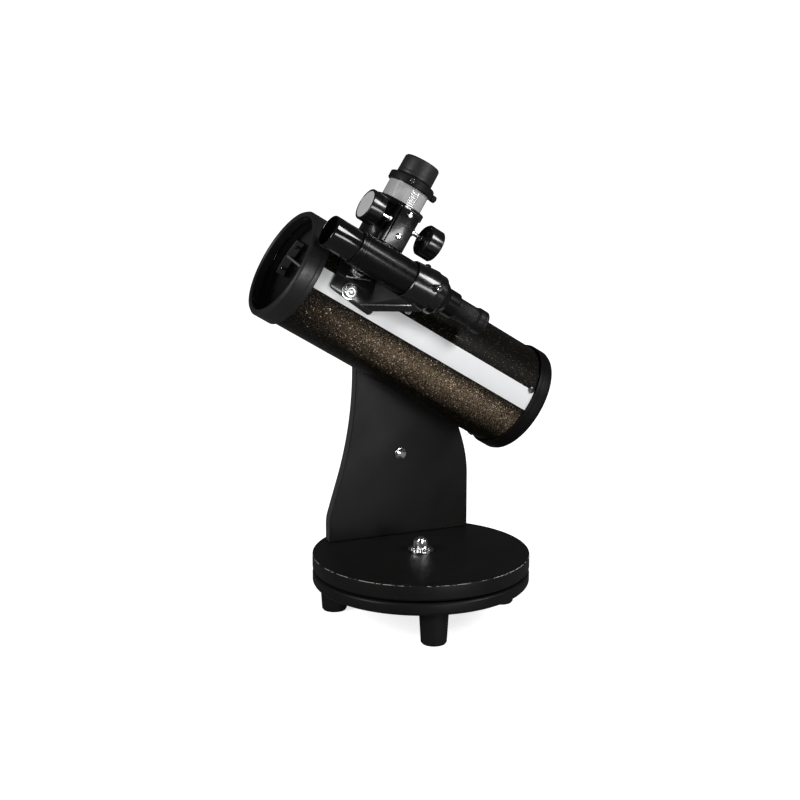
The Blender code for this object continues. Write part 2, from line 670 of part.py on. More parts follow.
def build_housing(tube_frame):
    centre = (FOCUSER_X, 0, 0)
    walls = [(HOUSING_COLLAR_R, HOUSING_TOP), (HOUSING_COLLAR_R, HOUSING_COLLAR_BOTTOM)]
    walls += [(HOUSING_R, HOUSING_COLLAR_BOTTOM), (HOUSING_R, 40.0)]
    mesh = turned_mesh(solid_profile(walls), MEDIUM)
    housing = add("focuser_housing", mesh, BLACK_PLASTIC, centre, parent=tube_frame)
    flange = shell_sector(49.5, TUBE_R + 3.2, -36, 36, FOCUSER_X - 30, FOCUSER_X + 30, 14)
    join(housing, "flange", flange, parent=tube_frame)
    low = (-BLOCK_HALF_WIDTH, COVER_INNER_Y + GAP, BLOCK_BOTTOM)
    block = box_mesh(low, (BLOCK_HALF_WIDTH, -15, BLOCK_TOP))
    join(housing, "pinion_block", block, centre, parent=tube_frame)
    cut(housing, "tube_saddle", rod_mesh(SADDLE_R, -140, -30, HUGE), (0, 0, 0), X_AXIS, tube_frame)
    bore = rod_mesh(DRAWTUBE_R + 0.4, 20, 120, MEDIUM)
    cut(housing, "draw_bore", bore, centre, parent=tube_frame)
    shaft = (FOCUSER_X, PINION_Y, PINION_Z)
    cut(housing, "shaft_bore", rod_mesh(2.4, -30, 30, TINY), shaft, X_AXIS, tube_frame)
    pocket = rod_mesh(PINION_PITCH_R + 1.1, -5.2, 5.2, SMALL)
    cut(housing, "pinion_pocket", pocket, shaft, X_AXIS, tube_frame)
    slot = box_mesh((-4.4, -27.0, 20.0), (4.4, 0.0, 120.0))
    cut(housing, "rack_slot", slot, centre, parent=tube_frame)
    low = (-COVER_HALF_WIDTH, COVER_OUTER_Y, BLOCK_BOTTOM)
    plate = box_mesh(low, (COVER_HALF_WIDTH, COVER_INNER_Y, BLOCK_TOP))
    cover = add("pinion_cover", plate, BLACK_PLASTIC, centre, parent=tube_frame)
    bevel(cover, 0.4)
    for i, height in enumerate((91.8, 70.4)):
        spot = (FOCUSER_X, 0, height)
        turn = (math.pi / 2, 0.0, 0.0)
        cut(cover, f"cover_hole_{i + 1}", rod_mesh(1.7, 28, 36, TINY), spot, turn, tube_frame)
        cut(housing, f"cover_pilot_{i + 1}", rod_mesh(1.7, 27.6, 36, TINY), spot, turn, tube_frame)
        head = -COVER_OUTER_Y + GAP
        screw = [(1.5, head + 1.8), (2.6, head + 1.1), (2.9, head), (1.4, head), (1.4, 28.0)]
        mesh = turned_mesh(solid_profile(screw), TINY)
        add(f"cover_screw_{i + 1}", mesh, CHROME, spot, turn, tube_frame)


def build_drawtube(tube_frame):
    centre = (FOCUSER_X, 0, 0)
    inner = DRAWTUBE_R - DRAWTUBE_WALL
    top = COLLAR_BOTTOM - GAP
    walls = [(DRAWTUBE_R, top), (DRAWTUBE_R, DRAWTUBE_BOTTOM)]
    walls += [(inner, DRAWTUBE_BOTTOM), (inner, top)]
    mesh = turned_mesh(walls, MEDIUM, closed=True)
    drawtube = add("drawtube", mesh, CHROME, centre, parent=tube_frame)
    flat = box_mesh((-3.9, -30, 10), (3.9, -18.2, 130))
    cut(drawtube, "rack_seat", flat, centre, parent=tube_frame)
    build_rack(centre, tube_frame)
    spigot_r = inner - GAP
    lip, spigot_end = COLLAR_TOP + 1.2, COLLAR_BOTTOM - 9
    collar = [(17.6, lip), (COLLAR_R - 1.0, COLLAR_TOP), (COLLAR_R, COLLAR_TOP - 1.0)]
    collar += [(COLLAR_R, COLLAR_BOTTOM), (spigot_r, COLLAR_BOTTOM), (spigot_r, spigot_end)]
    collar += [(EYEPIECE_BORE_R, spigot_end), (EYEPIECE_BORE_R, lip)]
    mesh = turned_mesh(collar, MEDIUM, closed=True)
    collar = add("eyepiece_collar", mesh, BLACK_PLASTIC, centre, parent=tube_frame)
    height = (COLLAR_BOTTOM + COLLAR_TOP) / 2
    spot = (FOCUSER_X, 0, height)
    for name, angle, head_r, reach, material in (
        ("collar_screw", -114.0, 2.2, 3.2, CHROME),
        ("collar_thumbscrew", 6.0, 3.4, 7.0, BLACK_PLASTIC),
    ):
        turn = (0.0, math.pi / 2, math.radians(angle))
        cut(collar, f"{name}_hole", rod_mesh(1.8, 10, 30, TINY), spot, turn, tube_frame)
        start = COLLAR_R + 0.4
        screw = [(head_r, start + reach), (head_r, start + 0.8), (1.5, start), (1.5, EYEPIECE_BORE_R + 0.4)]
        add(name, turned_mesh(solid_profile(screw), TINY), material, spot, turn, tube_frame)
    rim, plug_end = COLLAR_TOP + 1.6, COLLAR_BOTTOM - 6
    cap = [(0.0, CAP_TOP), (CAP_R - 1.8, CAP_TOP), (CAP_R - 0.6, CAP_TOP - 0.6)]
    cap += [(CAP_R - 0.1, CAP_TOP - 1.8), (CAP_R, rim), (15.6, rim), (15.6, plug_end), (14.0, plug_end)]
    cap += [(14.0, CAP_TOP - 2.0), (0.0, CAP_TOP - 2.0)]
    add("dust_cap", turned_mesh(cap, MEDIUM), RUBBER, centre, parent=tube_frame)


def build_rack(centre, tube_frame):
    """A toothed bar let into the drawtube, with the pinion's pitch."""
    teeth_pitch = TAU * PINION_PITCH_R / PINION_TEETH
    profile = [(RACK_BACK, RACK_LOW), (RACK_ROOT, RACK_LOW)]
    for i in range(int((RACK_HIGH - RACK_LOW) / teeth_pitch)):
        start = RACK_LOW + (i + 0.15) * teeth_pitch
        profile += [(RACK_ROOT, start + 0.05 * teeth_pitch), (RACK_TIP, start + 0.33 * teeth_pitch)]
        profile += [(RACK_TIP, start + 0.42 * teeth_pitch), (RACK_ROOT, start + 0.7 * teeth_pitch)]
    profile += [(RACK_ROOT, RACK_HIGH), (RACK_BACK, RACK_HIGH)]
    mesh = outline_mesh(profile, RACK_WIDTH)
    mesh.transform(OUTLINE_TO_YZ)
    add("focus_rack", mesh, STEEL, centre, parent=tube_frame, smooth=10.0)


def build_pinion(tube_frame):
    """The focusing shaft with its pinion, and a hand knob at each end."""
    middle = (FOCUSER_X, PINION_Y, PINION_Z)
    rod = rod_mesh(2.0, 3 - KNOB_OUTER, KNOB_OUTER - 3, TINY)
    shaft = add("pinion_shaft", rod, STEEL, middle, X_AXIS, tube_frame)
    pinion = gear_mesh(PINION_TEETH, PINION_PITCH_R, 9.0)
    join(shaft, "pinion_gear", pinion, middle, X_AXIS, tube_frame)
    for name, side in (("focus_knob_front", -1), ("focus_knob_rear", 1)):
        walls = [(KNOB_R - 0.7, KNOB_OUTER), (KNOB_R, KNOB_OUTER - 0.7), (KNOB_R, KNOB_INNER + 2.2)]
        walls += [(KNOB_R - 1.6, KNOB_INNER + 0.4), (9.0, KNOB_INNER + 0.4), (6.0, KNOB_INNER)]
        turn = (0.0, side * math.pi / 2, 0.0)
        mesh = turned_mesh(solid_profile(walls), MEDIUM)
        knob = add(name, mesh, BLACK_PLASTIC, middle, turn, tube_frame)
        bore = rod_mesh(2.3, 20, KNOB_OUTER - 2.7, TINY)
        cut(knob, f"{name}_bore", bore, middle, turn, tube_frame)
        if side < 0:
            recess = rod_mesh(13.4, KNOB_OUTER - 0.7, KNOB_OUTER + 5, MEDIUM)
            cut(knob, "cap_recess", recess, middle, turn, tube_frame)
            disc = rod_mesh(13.0, KNOB_OUTER - 0.4, KNOB_OUTER + 0.3, MEDIUM)
            add("knob_cap", disc, PALE_METAL, middle, turn, tube_frame)


def gear_mesh(teeth, pitch_r, width):
    """A small spur gear along Z."""
    outline = []
    for i in range(teeth):
        root, tip = pitch_r - 0.9, pitch_r + 0.45
        for share, r in ((0.05, root), (0.33, tip), (0.47, tip), (0.75, root)):
            turn = TAU * (i + share - 0.15) / teeth
            outline.append((r * math.cos(turn), r * math.sin(turn)))
    return outline_mesh(outline, width)


# ---------------------------------------------------------------- finder


def build_bracket(tube_frame):
    """The finder's bracket: a curved foot on the tube, two ribs and a flared sleeve."""
    low, high = SADDLE_R, TUBE_R + 3.2
    plate = shell_sector(low, high, PLATE_START, PLATE_END, PLATE_FRONT, PLATE_REAR, 12)
    bracket = add("finder_bracket", plate, BLACK_PLASTIC, parent=tube_frame)
    middle = (0, FINDER_Y, FINDER_Z)
    sleeve = [(18.7, SLEEVE_REAR), (19.1, SLEEVE_FLARE + 0.6)]
    sleeve += [(19.6, SLEEVE_FLARE), (17.7, SLEEVE_FRONT)]
    sleeve += [(16.6, SLEEVE_FRONT), (17.3, SLEEVE_REAR)]
    sleeve_mesh = turned_mesh(sleeve, MEDIUM, closed=True)
    near, far = round_tube(90.0, 51.6), round_tube(60.0, 51.6)
    far_reach = (SLEEVE_FRONT + 1, SLEEVE_REAR - 8)
    ribs = (
        ("near_rib", near, (-70.0, 21.4), (-96.0, -82.5), (-60.0, -47.0)),
        ("far_rib", far, (-48.0, 29.6), (-119.0, -82.5), far_reach),
    )
    for name, root, touch, span, reach in ribs:
        across = Vector((0.0, touch[0] - root[0], touch[1] - root[1]))
        side = across.cross(Vector((1, 0, 0))).normalized() * 1.2
        corners = [(span[0], root), (span[1], root), (reach[0], touch), (reach[1], touch)]
        points = []
        for x, (y, z) in corners:
            points += [Vector((x, y, z)) + side, Vector((x, y, z)) - side]
        join(bracket, name, hull_mesh(points), parent=tube_frame)
    web = [(x, *round_tube(angle, 51.8)) for x in (-92.0, -84.0) for angle in (88.0, 61.0)]
    for x in (SLEEVE_FRONT + 2, SLEEVE_REAR - 6):
        web += [(x, -70.0, 21.8), (x, -52.0, 26.0)]
    join(bracket, "sloping_web", hull_mesh(web), parent=tube_frame)
    join(bracket, "sleeve", sleeve_mesh, middle, X_AXIS, tube_frame)
    bore = [(17.3, 10.0), (17.3, SLEEVE_REAR), (16.6, SLEEVE_FRONT), (16.6, -165.0)]
    cut(bracket, "finder_bore", turned_mesh(solid_profile(bore), MEDIUM), middle, X_AXIS, tube_frame)
    cut(bracket, "tube_clearance", rod_mesh(low, -150, -30, HUGE), (0, 0, 0), X_AXIS, tube_frame)
    for i, angle in enumerate(SCREW_ANGLES):
        spot = (SCREW_PLANE_X, FINDER_Y, FINDER_Z)
        hole = rod_mesh(1.8, 12, 32, TINY)
        cut(bracket, f"adjuster_hole_{i + 1}", hole, spot, radial(angle), tube_frame)
        start = FINDER_R + GAP
        screw = [(2.6, 27.4), (3.0, 26.8), (3.0, 23.2), (2.4, 22.6), (1.5, 22.4), (1.5, start)]
        material = BLACK_PLASTIC if i == 0 else CHROME
        name = f"adjusting_screw_{i + 1}"
        add(name, turned_mesh(solid_profile(screw), TINY), material, spot, radial(angle), tube_frame)
    for i, angle in enumerate(STUD_ANGLES):
        spot, turn = (STUD_X, 0, 0), radial(angle)
        cut(bracket, f"bracket_hole_{i + 1}", rod_mesh(2.5, 40, 60, TINY), spot, turn, tube_frame)
        stud = [(1.7, 59.2), (2.1, 58.8), (2.1, 48.2), (4.4, 48.2), (4.4, 46.6)]
        mesh = turned_mesh(solid_profile(stud), TINY)
        add(f"bracket_stud_{i + 1}", mesh, STEEL, spot, turn, tube_frame)
        base = high + 0.6
        nut = [(5.2, base + 4.6), (6.2, base + 3.8), (6.2, base + 1.4), (7.4, base + 0.9), (7.4, base)]
        nut += [(2.4, base), (2.4, base + 4.6)]
        name = f"bracket_nut_{i + 1}"
        add(name, turned_mesh(nut, SMALL, closed=True), CHROME, spot, turn, tube_frame)


def build_finder(tube_frame):
    """The finder's stepped tube, dew shield, front lens and sliding eyepiece."""
    middle = (0, FINDER_Y, FINDER_Z)
    inner, cell_r, seat_r = FINDER_R - 1.3, 13.2, 12.2
    front = SHIELD_REAR + GAP
    tube = [(12.4, BARREL_REAR), (12.4, -33.4), (FINDER_R - 0.6, -37.0), (FINDER_R, -39.0)]
    tube += [(FINDER_R, front), (cell_r, front), (cell_r, SHIELD_REAR - 6.0)]
    tube += [(seat_r, SHIELD_REAR - 6.0), (seat_r, SHIELD_REAR + 4.0), (inner, SHIELD_REAR + 8.0)]
    tube += [(inner, -39.0), (10.6, -36.0), (10.6, BARREL_REAR)]
    mesh = turned_mesh(tube, MEDIUM, closed=True)
    add("finder_tube", mesh, GLOSS_PLASTIC, middle, X_AXIS, tube_frame)
    shield = [(SHIELD_R, SHIELD_REAR), (SHIELD_R, SHIELD_FRONT + 0.5)]
    shield += [(SHIELD_R - 0.5, SHIELD_FRONT), (13.5, SHIELD_FRONT), (13.5, SHIELD_REAR)]
    mesh = turned_mesh(shield, MEDIUM, closed=True)
    add("finder_dew_shield", mesh, GLOSS_PLASTIC, middle, X_AXIS, tube_frame)
    lens_r, steps = 12.9, 3
    shares = [i / steps for i in range(steps + 1)]
    lens = [(lens_r * t, SHIELD_REAR - 6.8 - 1.2 * t**2) for t in shares]
    lens += [(lens_r * t, SHIELD_REAR - 10.6 + 1.3 * t**2) for t in reversed(shares)]
    add("finder_objective", turned_mesh(lens, MEDIUM), GLASS, middle, X_AXIS, tube_frame)
    eyepiece = [(8.2, EYECUP_REAR), (10.6, EYECUP_REAR), (11.3, EYECUP_REAR - 0.8)]
    eyepiece += [(11.3, 1.6), (9.9, 0.0), (9.9, -31.0), (8.4, -31.0), (8.4, -4.0), (5.0, 3.0)]
    mesh = turned_mesh(eyepiece, MEDIUM, closed=True)
    add("finder_eyepiece", mesh, BLACK_PLASTIC, middle, X_AXIS, tube_frame)


def build_all():
    build_base()
    build_turntable()
    build_tension_knob()
    tube_frame = bpy.data.objects.new("altitude_axis", None)
    TELESCOPE.objects.link(tube_frame)
    place(tube_frame, (0, 0, PIVOT_HEIGHT), (0, math.radians(ALTITUDE), 0))
    build_tube(tube_frame)
    build_primary(tube_frame)
    build_secondary(tube_frame)
    build_bearing(tube_frame)
    build_housing(tube_frame)
    build_drawtube(tube_frame)
    build_pinion(tube_frame)
    build_bracket(tube_frame)
    build_finder(tube_frame)
    for thing in bpy.data.objects:
        if thing.parent is None:
            thing.location.x += AXIS_X * MM


clear_scene()
TELESCOPE = new_collection("newtonian_telescope")
CUTTERS = new_collection("cutters", hidden=True)
LAMINATE = new_material("black_laminate", (0.012, 0.012, 0.012), 0.5)
FOOT_PLASTIC = new_material("foot_plastic", (0.013, 0.013, 0.013), 0.55)
BLACK_PLASTIC = new_material("satin_plastic", (0.014, 0.014, 0.015), 0.4)
GLOSS_PLASTIC = new_material("gloss_plastic", (0.01, 0.01, 0.011), 0.2)
RING_PLASTIC = new_material("ring_plastic", (0.015, 0.015, 0.015), 0.45)
RUBBER = new_material("cap_rubber", (0.012, 0.012, 0.012), 0.6)
BLACK_METAL = new_material("black_metal", (0.01, 0.01, 0.01), 0.6, 0.3)
BLACK_SCREW = new_material("black_screw", (0.01, 0.01, 0.01), 0.35, 0.6)
NYLON = new_material("nylon", (0.75, 0.75, 0.72), 0.5)
CHROME = new_material("chrome", (0.8, 0.8, 0.8), 0.12, 1.0)
STEEL = new_material("steel", (0.55, 0.55, 0.55), 0.3, 1.0)
PALE_METAL = new_material("pale_metal", (0.78, 0.78, 0.77), 0.35, 0.4)
TUBE_PAINT = new_material("flake_paint", (0.03, 0.026, 0.02), 0.25, 0.3)
WHITE_PAINT = new_material("white_paint", (0.85, 0.85, 0.85), 0.4)
MIRROR = new_material("mirror", (0.93, 0.94, 0.95), 0.02, 1.0)
GLASS = new_material("glass", (0.6, 0.62, 0.7), 0.05)
build_all()
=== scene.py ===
"""The finished look of the tabletop newtonian telescope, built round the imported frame.

Shapes are made in millimetres and become metres when a piece is added. Local frames:
TUBE has x along the optical axis towards the mirror and z square to it towards the focuser,
FOCUS has z up the focuser, FINDER and PINION have z along the finder's and the shaft's axis.
"""

import math

import bmesh
import bpy
from mathutils import Matrix, Vector


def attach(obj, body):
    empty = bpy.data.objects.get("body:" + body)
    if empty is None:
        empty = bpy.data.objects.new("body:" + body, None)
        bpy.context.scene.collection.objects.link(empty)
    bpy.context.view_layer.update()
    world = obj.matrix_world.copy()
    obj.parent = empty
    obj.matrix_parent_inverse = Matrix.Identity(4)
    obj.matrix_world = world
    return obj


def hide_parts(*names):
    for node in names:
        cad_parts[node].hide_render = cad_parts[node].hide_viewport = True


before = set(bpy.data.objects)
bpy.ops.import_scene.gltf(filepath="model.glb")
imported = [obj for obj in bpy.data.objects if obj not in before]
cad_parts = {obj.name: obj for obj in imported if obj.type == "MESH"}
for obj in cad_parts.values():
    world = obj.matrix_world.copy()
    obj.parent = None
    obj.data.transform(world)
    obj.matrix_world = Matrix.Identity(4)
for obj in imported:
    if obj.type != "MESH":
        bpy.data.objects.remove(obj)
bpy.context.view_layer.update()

MM = 0.001
TAU = 2.0 * math.pi

AXIS_X = 18.2
PIVOT_HEIGHT = 262.0
ALTITUDE = math.radians(31.4)
FOCUSER_X = -86.3
FINDER_Y = -65.0
FINDER_Z = 39.3
PINION_Y = -25.0
PINION_Z = 80.7

BOARD_R = 104.0
GROUND_TOP = 44.4
TURNTABLE_TOP = 61.0
FOOT_RING_R = 84.0
FRONT_FOOT_ANGLE = -105.5
FOOT_SPREAD = 102.0
ARM_Y = 63.0
ARM_BOLT_PLACE = (2.6, 57.0, 144.0)
SADDLE_INNER = 50.4
SADDLE_OUTER = 53.2
STALK_X = -140.0
STALK_ANGLE = -76.5
STALK_SPREAD = 15.0
COLLAR_SCREW_HEIGHT = 120.8
FOUR_FOCAL_LENGTHS = 1200

WORLD = Matrix.Translation((AXIS_X, 0, 0))
TUBE = Matrix.Translation((AXIS_X, 0, PIVOT_HEIGHT)) @ Matrix.Rotation(ALTITUDE, 4, "Y")
ALONG = Matrix.Rotation(math.radians(90), 4, "Y")
ACROSS = Matrix.Rotation(math.radians(-90), 4, "X")
TUBE_X = TUBE @ ALONG
FOCUS = TUBE @ Matrix.Translation((FOCUSER_X, 0, 0))
FINDER = TUBE @ Matrix.Translation((0, FINDER_Y, FINDER_Z)) @ ALONG
PINION = TUBE @ Matrix.Translation((FOCUSER_X, PINION_Y, PINION_Z)) @ ALONG
PIVOT = WORLD @ Matrix.Translation((0, 0, PIVOT_HEIGHT)) @ ACROSS


def radial(x, angle):
    """A frame on the tube's axis whose z points outwards, at degrees from the top to the near side."""
    return TUBE @ Matrix.Translation((x, 0, 0)) @ Matrix.Rotation(math.radians(angle), 4, "X")


# ---------------------------------------------------------------- shapes


def soften(points, radius, closed, count=3):
    """The profile with each corner rounded off."""
    size = len(points)
    result = []
    for i, point in enumerate(points):
        if not closed and i in (0, size - 1):
            result.append(point)
            continue
        here = Vector(point)
        before = Vector(points[i - 1]) - here
        after = Vector(points[(i + 1) % size]) - here
        turn = math.pi - before.angle(after) if before.length and after.length else 0.0
        if turn < math.radians(12) or radius <= 0:
            result.append(point)
            continue
        reach = min(radius * math.tan(turn / 2), before.length * 0.42, after.length * 0.42)
        a, b = here + before.normalized() * reach, here + after.normalized() * reach
        for step in range(count + 1):
            t = step / count
            spot = a * (1 - t) ** 2 + here * 2 * t * (1 - t) + b * t**2
            result.append((spot.x, spot.y))
    return result


def lathe(profile, steps=96, closed=False, edge=0.3, warp=None):
    """A profile of (radius, height) turned about z. warp moves (r, h) at each turn."""
    if edge:
        profile = soften(profile, edge, closed)
    shape = bmesh.new()
    rings = []
    for r, h in profile:
        if r < 1e-6:
            rings.append([shape.verts.new((0, 0, h))])
            continue
        ring = []
        for i in range(steps):
            turn = TAU * i / steps
            rr, hh = warp(r, h, turn) if warp else (r, h)
            ring.append(shape.verts.new((rr * math.cos(turn), rr * math.sin(turn), hh)))
        rings.append(ring)
    pairs = list(zip(rings, rings[1:]))
    if closed:
        pairs.append((rings[-1], rings[0]))
    for a, b in pairs:
        for i in range(steps):
            j = (i + 1) % steps
            corners = [a[i % len(a)], a[j % len(a)], b[j % len(b)], b[i % len(b)]]
            unique = list(dict.fromkeys(corners))
            if len(unique) > 2:
                shape.faces.new(unique)
    bmesh.ops.recalc_face_normals(shape, faces=shape.faces)
    return shape


def solid(sections, **options):
    """A turned solid on the axis, from (radius, height) points listed top to bottom."""
    return lathe([(0.0, sections[0][1]), *sections, (0.0, sections[-1][1])], **options)


def ribs(count, depth, low, high, sharp=1.0):
    """A warp that cuts flutes round the turned shape between two heights."""

    def warp(r, h, turn):
        if low <= h <= high:
            r -= depth * (0.5 + 0.5 * math.cos(count * turn)) ** sharp
        return r, h

    return warp


def hexagon(flats):
    """A warp that trims a turned shape to six flats."""

    def warp(r, h, turn):
        corner = math.radians(60)
        return min(r, flats / 2 / math.cos((turn % corner) - corner / 2)), h

    return warp


def outside(radius, warp):
    """A warp that leaves alone whatever lies within a radius of the axis."""

    def kept(r, h, turn):
        return warp(r, h, turn) if r > radius else (r, h)

    return kept


def hex_nut(flats, bottom, top, bore):
    corner = flats / 2 / math.cos(math.radians(30))
    rim = flats / 2 * 0.98
    drop = (corner - rim) * 0.55
    profile = [(rim, top), (corner, top - drop), (corner, bottom + drop), (rim, bottom)]
    profile += [(bore + 0.5, bottom), (bore, bottom + 0.5), (bore, top - 0.5), (bore + 0.5, top)]
    return lathe(profile, 96, True, 0.0, outside(bore + 1, hexagon(flats)))


def thread(radius, bottom, top, pitch=0.8, depth=0.35):
    """Sections of a screw thread from top to bottom, with a chamfered end at the top."""
    sections = [(radius - depth - 0.3, top), (radius - depth, top - 0.4)]
    height = top - 0.5
    while height - pitch > bottom:
        sections += [(radius, height - pitch * 0.3), (radius, height - pitch * 0.5)]
        sections += [(radius - depth, height - pitch * 0.85), (radius - depth, height - pitch)]
        height -= pitch
    return [*sections, (radius - depth, bottom)]


def extruded(outline, low, high, edge=0.8, segments=3, angle=30.0):
    """A flat outline in XY made into a plate between two heights, with its edges rounded."""
    shape = bmesh.new()
    bottom = [shape.verts.new((x, y, low)) for x, y in outline]
    top = [shape.verts.new((x, y, high)) for x, y in outline]
    shape.faces.new(top)
    shape.faces.new(bottom[::-1])
    for i in range(len(outline)):
        j = (i + 1) % len(outline)
        shape.faces.new((bottom[i], bottom[j], top[j], top[i]))
    return rounded(shape, edge, segments, angle)


def rounded(shape, edge, segments=3, angle=30.0):
    bmesh.ops.recalc_face_normals(shape, faces=shape.faces)
    if edge:
        sharp = [e for e in shape.edges if e.is_manifold and e.calc_face_angle() > math.radians(angle)]
        bmesh.ops.bevel(
            shape,
            geom=sharp,
            offset=edge,
            segments=segments,
            profile=0.5,
            affect="EDGES",
            clamp_overlap=True,
        )
    bmesh.ops.recalc_face_normals(shape, faces=shape.faces)
    return shape


def hull(points, edge=0.4):
    shape = bmesh.new()
    for point in points:
        shape.verts.new(point)
    made = bmesh.ops.convex_hull(shape, input=shape.verts)
    spare = [v for v in made["geom_interior"] + made["geom_unused"] if isinstance(v, bmesh.types.BMVert)]
    bmesh.ops.delete(shape, geom=list(set(spare)), context="VERTS")
    bmesh.ops.dissolve_limit(shape, angle_limit=math.radians(1), verts=shape.verts, edges=shape.edges)
    return rounded(shape, edge, 3, 20)


def box(low, high, edge=0.4):
    corners = [(x, y, z) for x in (low[0], high[0]) for y in (low[1], high[1]) for z in (low[2], high[2])]
    return hull(corners, edge)


def cross_slot(reach, half, low, high, matrix):
    """Two crossed bars that cut a screw's recess, each with its frame."""
    bars = ((reach, half), (half, reach))
    return [(box((-x, -y, low), (x, y, high), 0), matrix) for x, y in bars]


def wrapped(start, end, front, rear, inner, outer, corner=3.0, edge=0.5, skew=0.0):
    """A plate curved round the tube, between two angles in degrees and two places along x."""
    rows = []
    reach = math.degrees(corner / outer)
    angles = [start + reach * (1 - math.cos(math.pi / 2 * i / 5)) for i in range(6)]
    steps = max(2, int((end - start - 2 * reach) / 3))
    angles += [start + reach + (end - start - 2 * reach) * i / steps for i in range(1, steps)]
    angles += [end - reach * (1 - math.cos(math.pi / 2 * i / 5)) for i in range(5, -1, -1)]
    for angle in angles:
        near = min(angle - start, end - angle)
        inset = 0.0
        if near < reach:
            inset = corner * (1 - math.sqrt(max(0.0, 1 - (1 - near / reach) ** 2)))
        share = (angle - start) / (end - start)
        rows.append((angle, share, front + inset, rear - inset))
    shape = bmesh.new()
    layers = []
    for r in (inner, outer):
        layer = []
        for angle, share, x0, x1 in rows:
            pair = []
            for x in (x0, x1):
                extra = skew * share * (x - front) / (rear - front)
                turn = math.radians(angle + extra)
                pair.append(shape.verts.new((x, -r * math.sin(turn), r * math.cos(turn))))
            layer.append(pair)
        layers.append(layer)
    below, above = layers
    last = len(rows) - 1
    for i in range(last):
        shape.faces.new((above[i][0], above[i][1], above[i + 1][1], above[i + 1][0]))
        shape.faces.new((below[i][0], below[i + 1][0], below[i + 1][1], below[i][1]))
        for side in (0, 1):
            shape.faces.new((below[i][side], below[i + 1][side], above[i + 1][side], above[i][side]))
    for i in (0, last):
        shape.faces.new((below[i][0], below[i][1], above[i][1], above[i][0]))
    return rounded(shape, edge, 2, 50)


def arc(centre, radius, start, end, count):
    points = []
    for i in range(count + 1):
        turn = math.radians(start + (end - start) * i / count)
        points.append((centre[0] + radius * math.cos(turn), centre[1] + radius * math.sin(turn)))
    return points


def mesh_of(name, shape, matrix):
    shape.transform(Matrix.Scale(MM, 4) @ matrix)
    mesh = bpy.data.meshes.new(name)
    shape.to_mesh(mesh)
    shape.free()
    return mesh


def carve(thing, cutters):
    """Cuts shapes, each with its frame, out of a piece, and keeps the result as its mesh."""
    helpers = []
    for i, (shape, matrix) in enumerate(cutters):
        helper = bpy.data.objects.new(f"cutter_{i}", mesh_of("cutter", shape, matrix))
        bpy.context.scene.collection.objects.link(helper)
        modifier = thing.modifiers.new("Cut", "BOOLEAN")
        modifier.operation = "DIFFERENCE"
        modifier.solver = "EXACT"
        modifier.object = helper
        helpers.append(helper)
    bpy.context.view_layer.update()
    evaluated = thing.evaluated_get(bpy.context.evaluated_depsgraph_get())
    result = bpy.data.meshes.new_from_object(evaluated)
    thing.modifiers.clear()
    thing.data = result
    for helper in helpers:
        bpy.data.objects.remove(helper, do_unlink=True)
    finish_mesh(result)


def finish_mesh(mesh, angle=32.0):
    mesh.shade_smooth()
    mesh.set_sharp_from_angle(angle=math.radians(angle))


def piece(name, shape, matrix, material, body, *nodes, cutters=(), inside=None):
    """A piece of the telescope that rides on a body and stands for the CAD nodes named."""
    mesh = mesh_of(name, shape, matrix)
    thing = bpy.data.objects.new(name, mesh)
    bpy.context.scene.collection.objects.link(thing)
    mesh.materials.append(material)
    finish_mesh(mesh)
    if cutters:
        carve(thing, cutters)
    if inside:
        test, other = inside
        thing.data.materials.append(other)
        back = (Matrix.Scale(MM, 4) @ matrix).inverted()
        for face in thing.data.polygons:
            if test(back @ face.center):
                face.material_index = 1
    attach(thing, body)
    if nodes:
        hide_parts(*nodes)
    return thing


# ---------------------------------------------------------------- materials


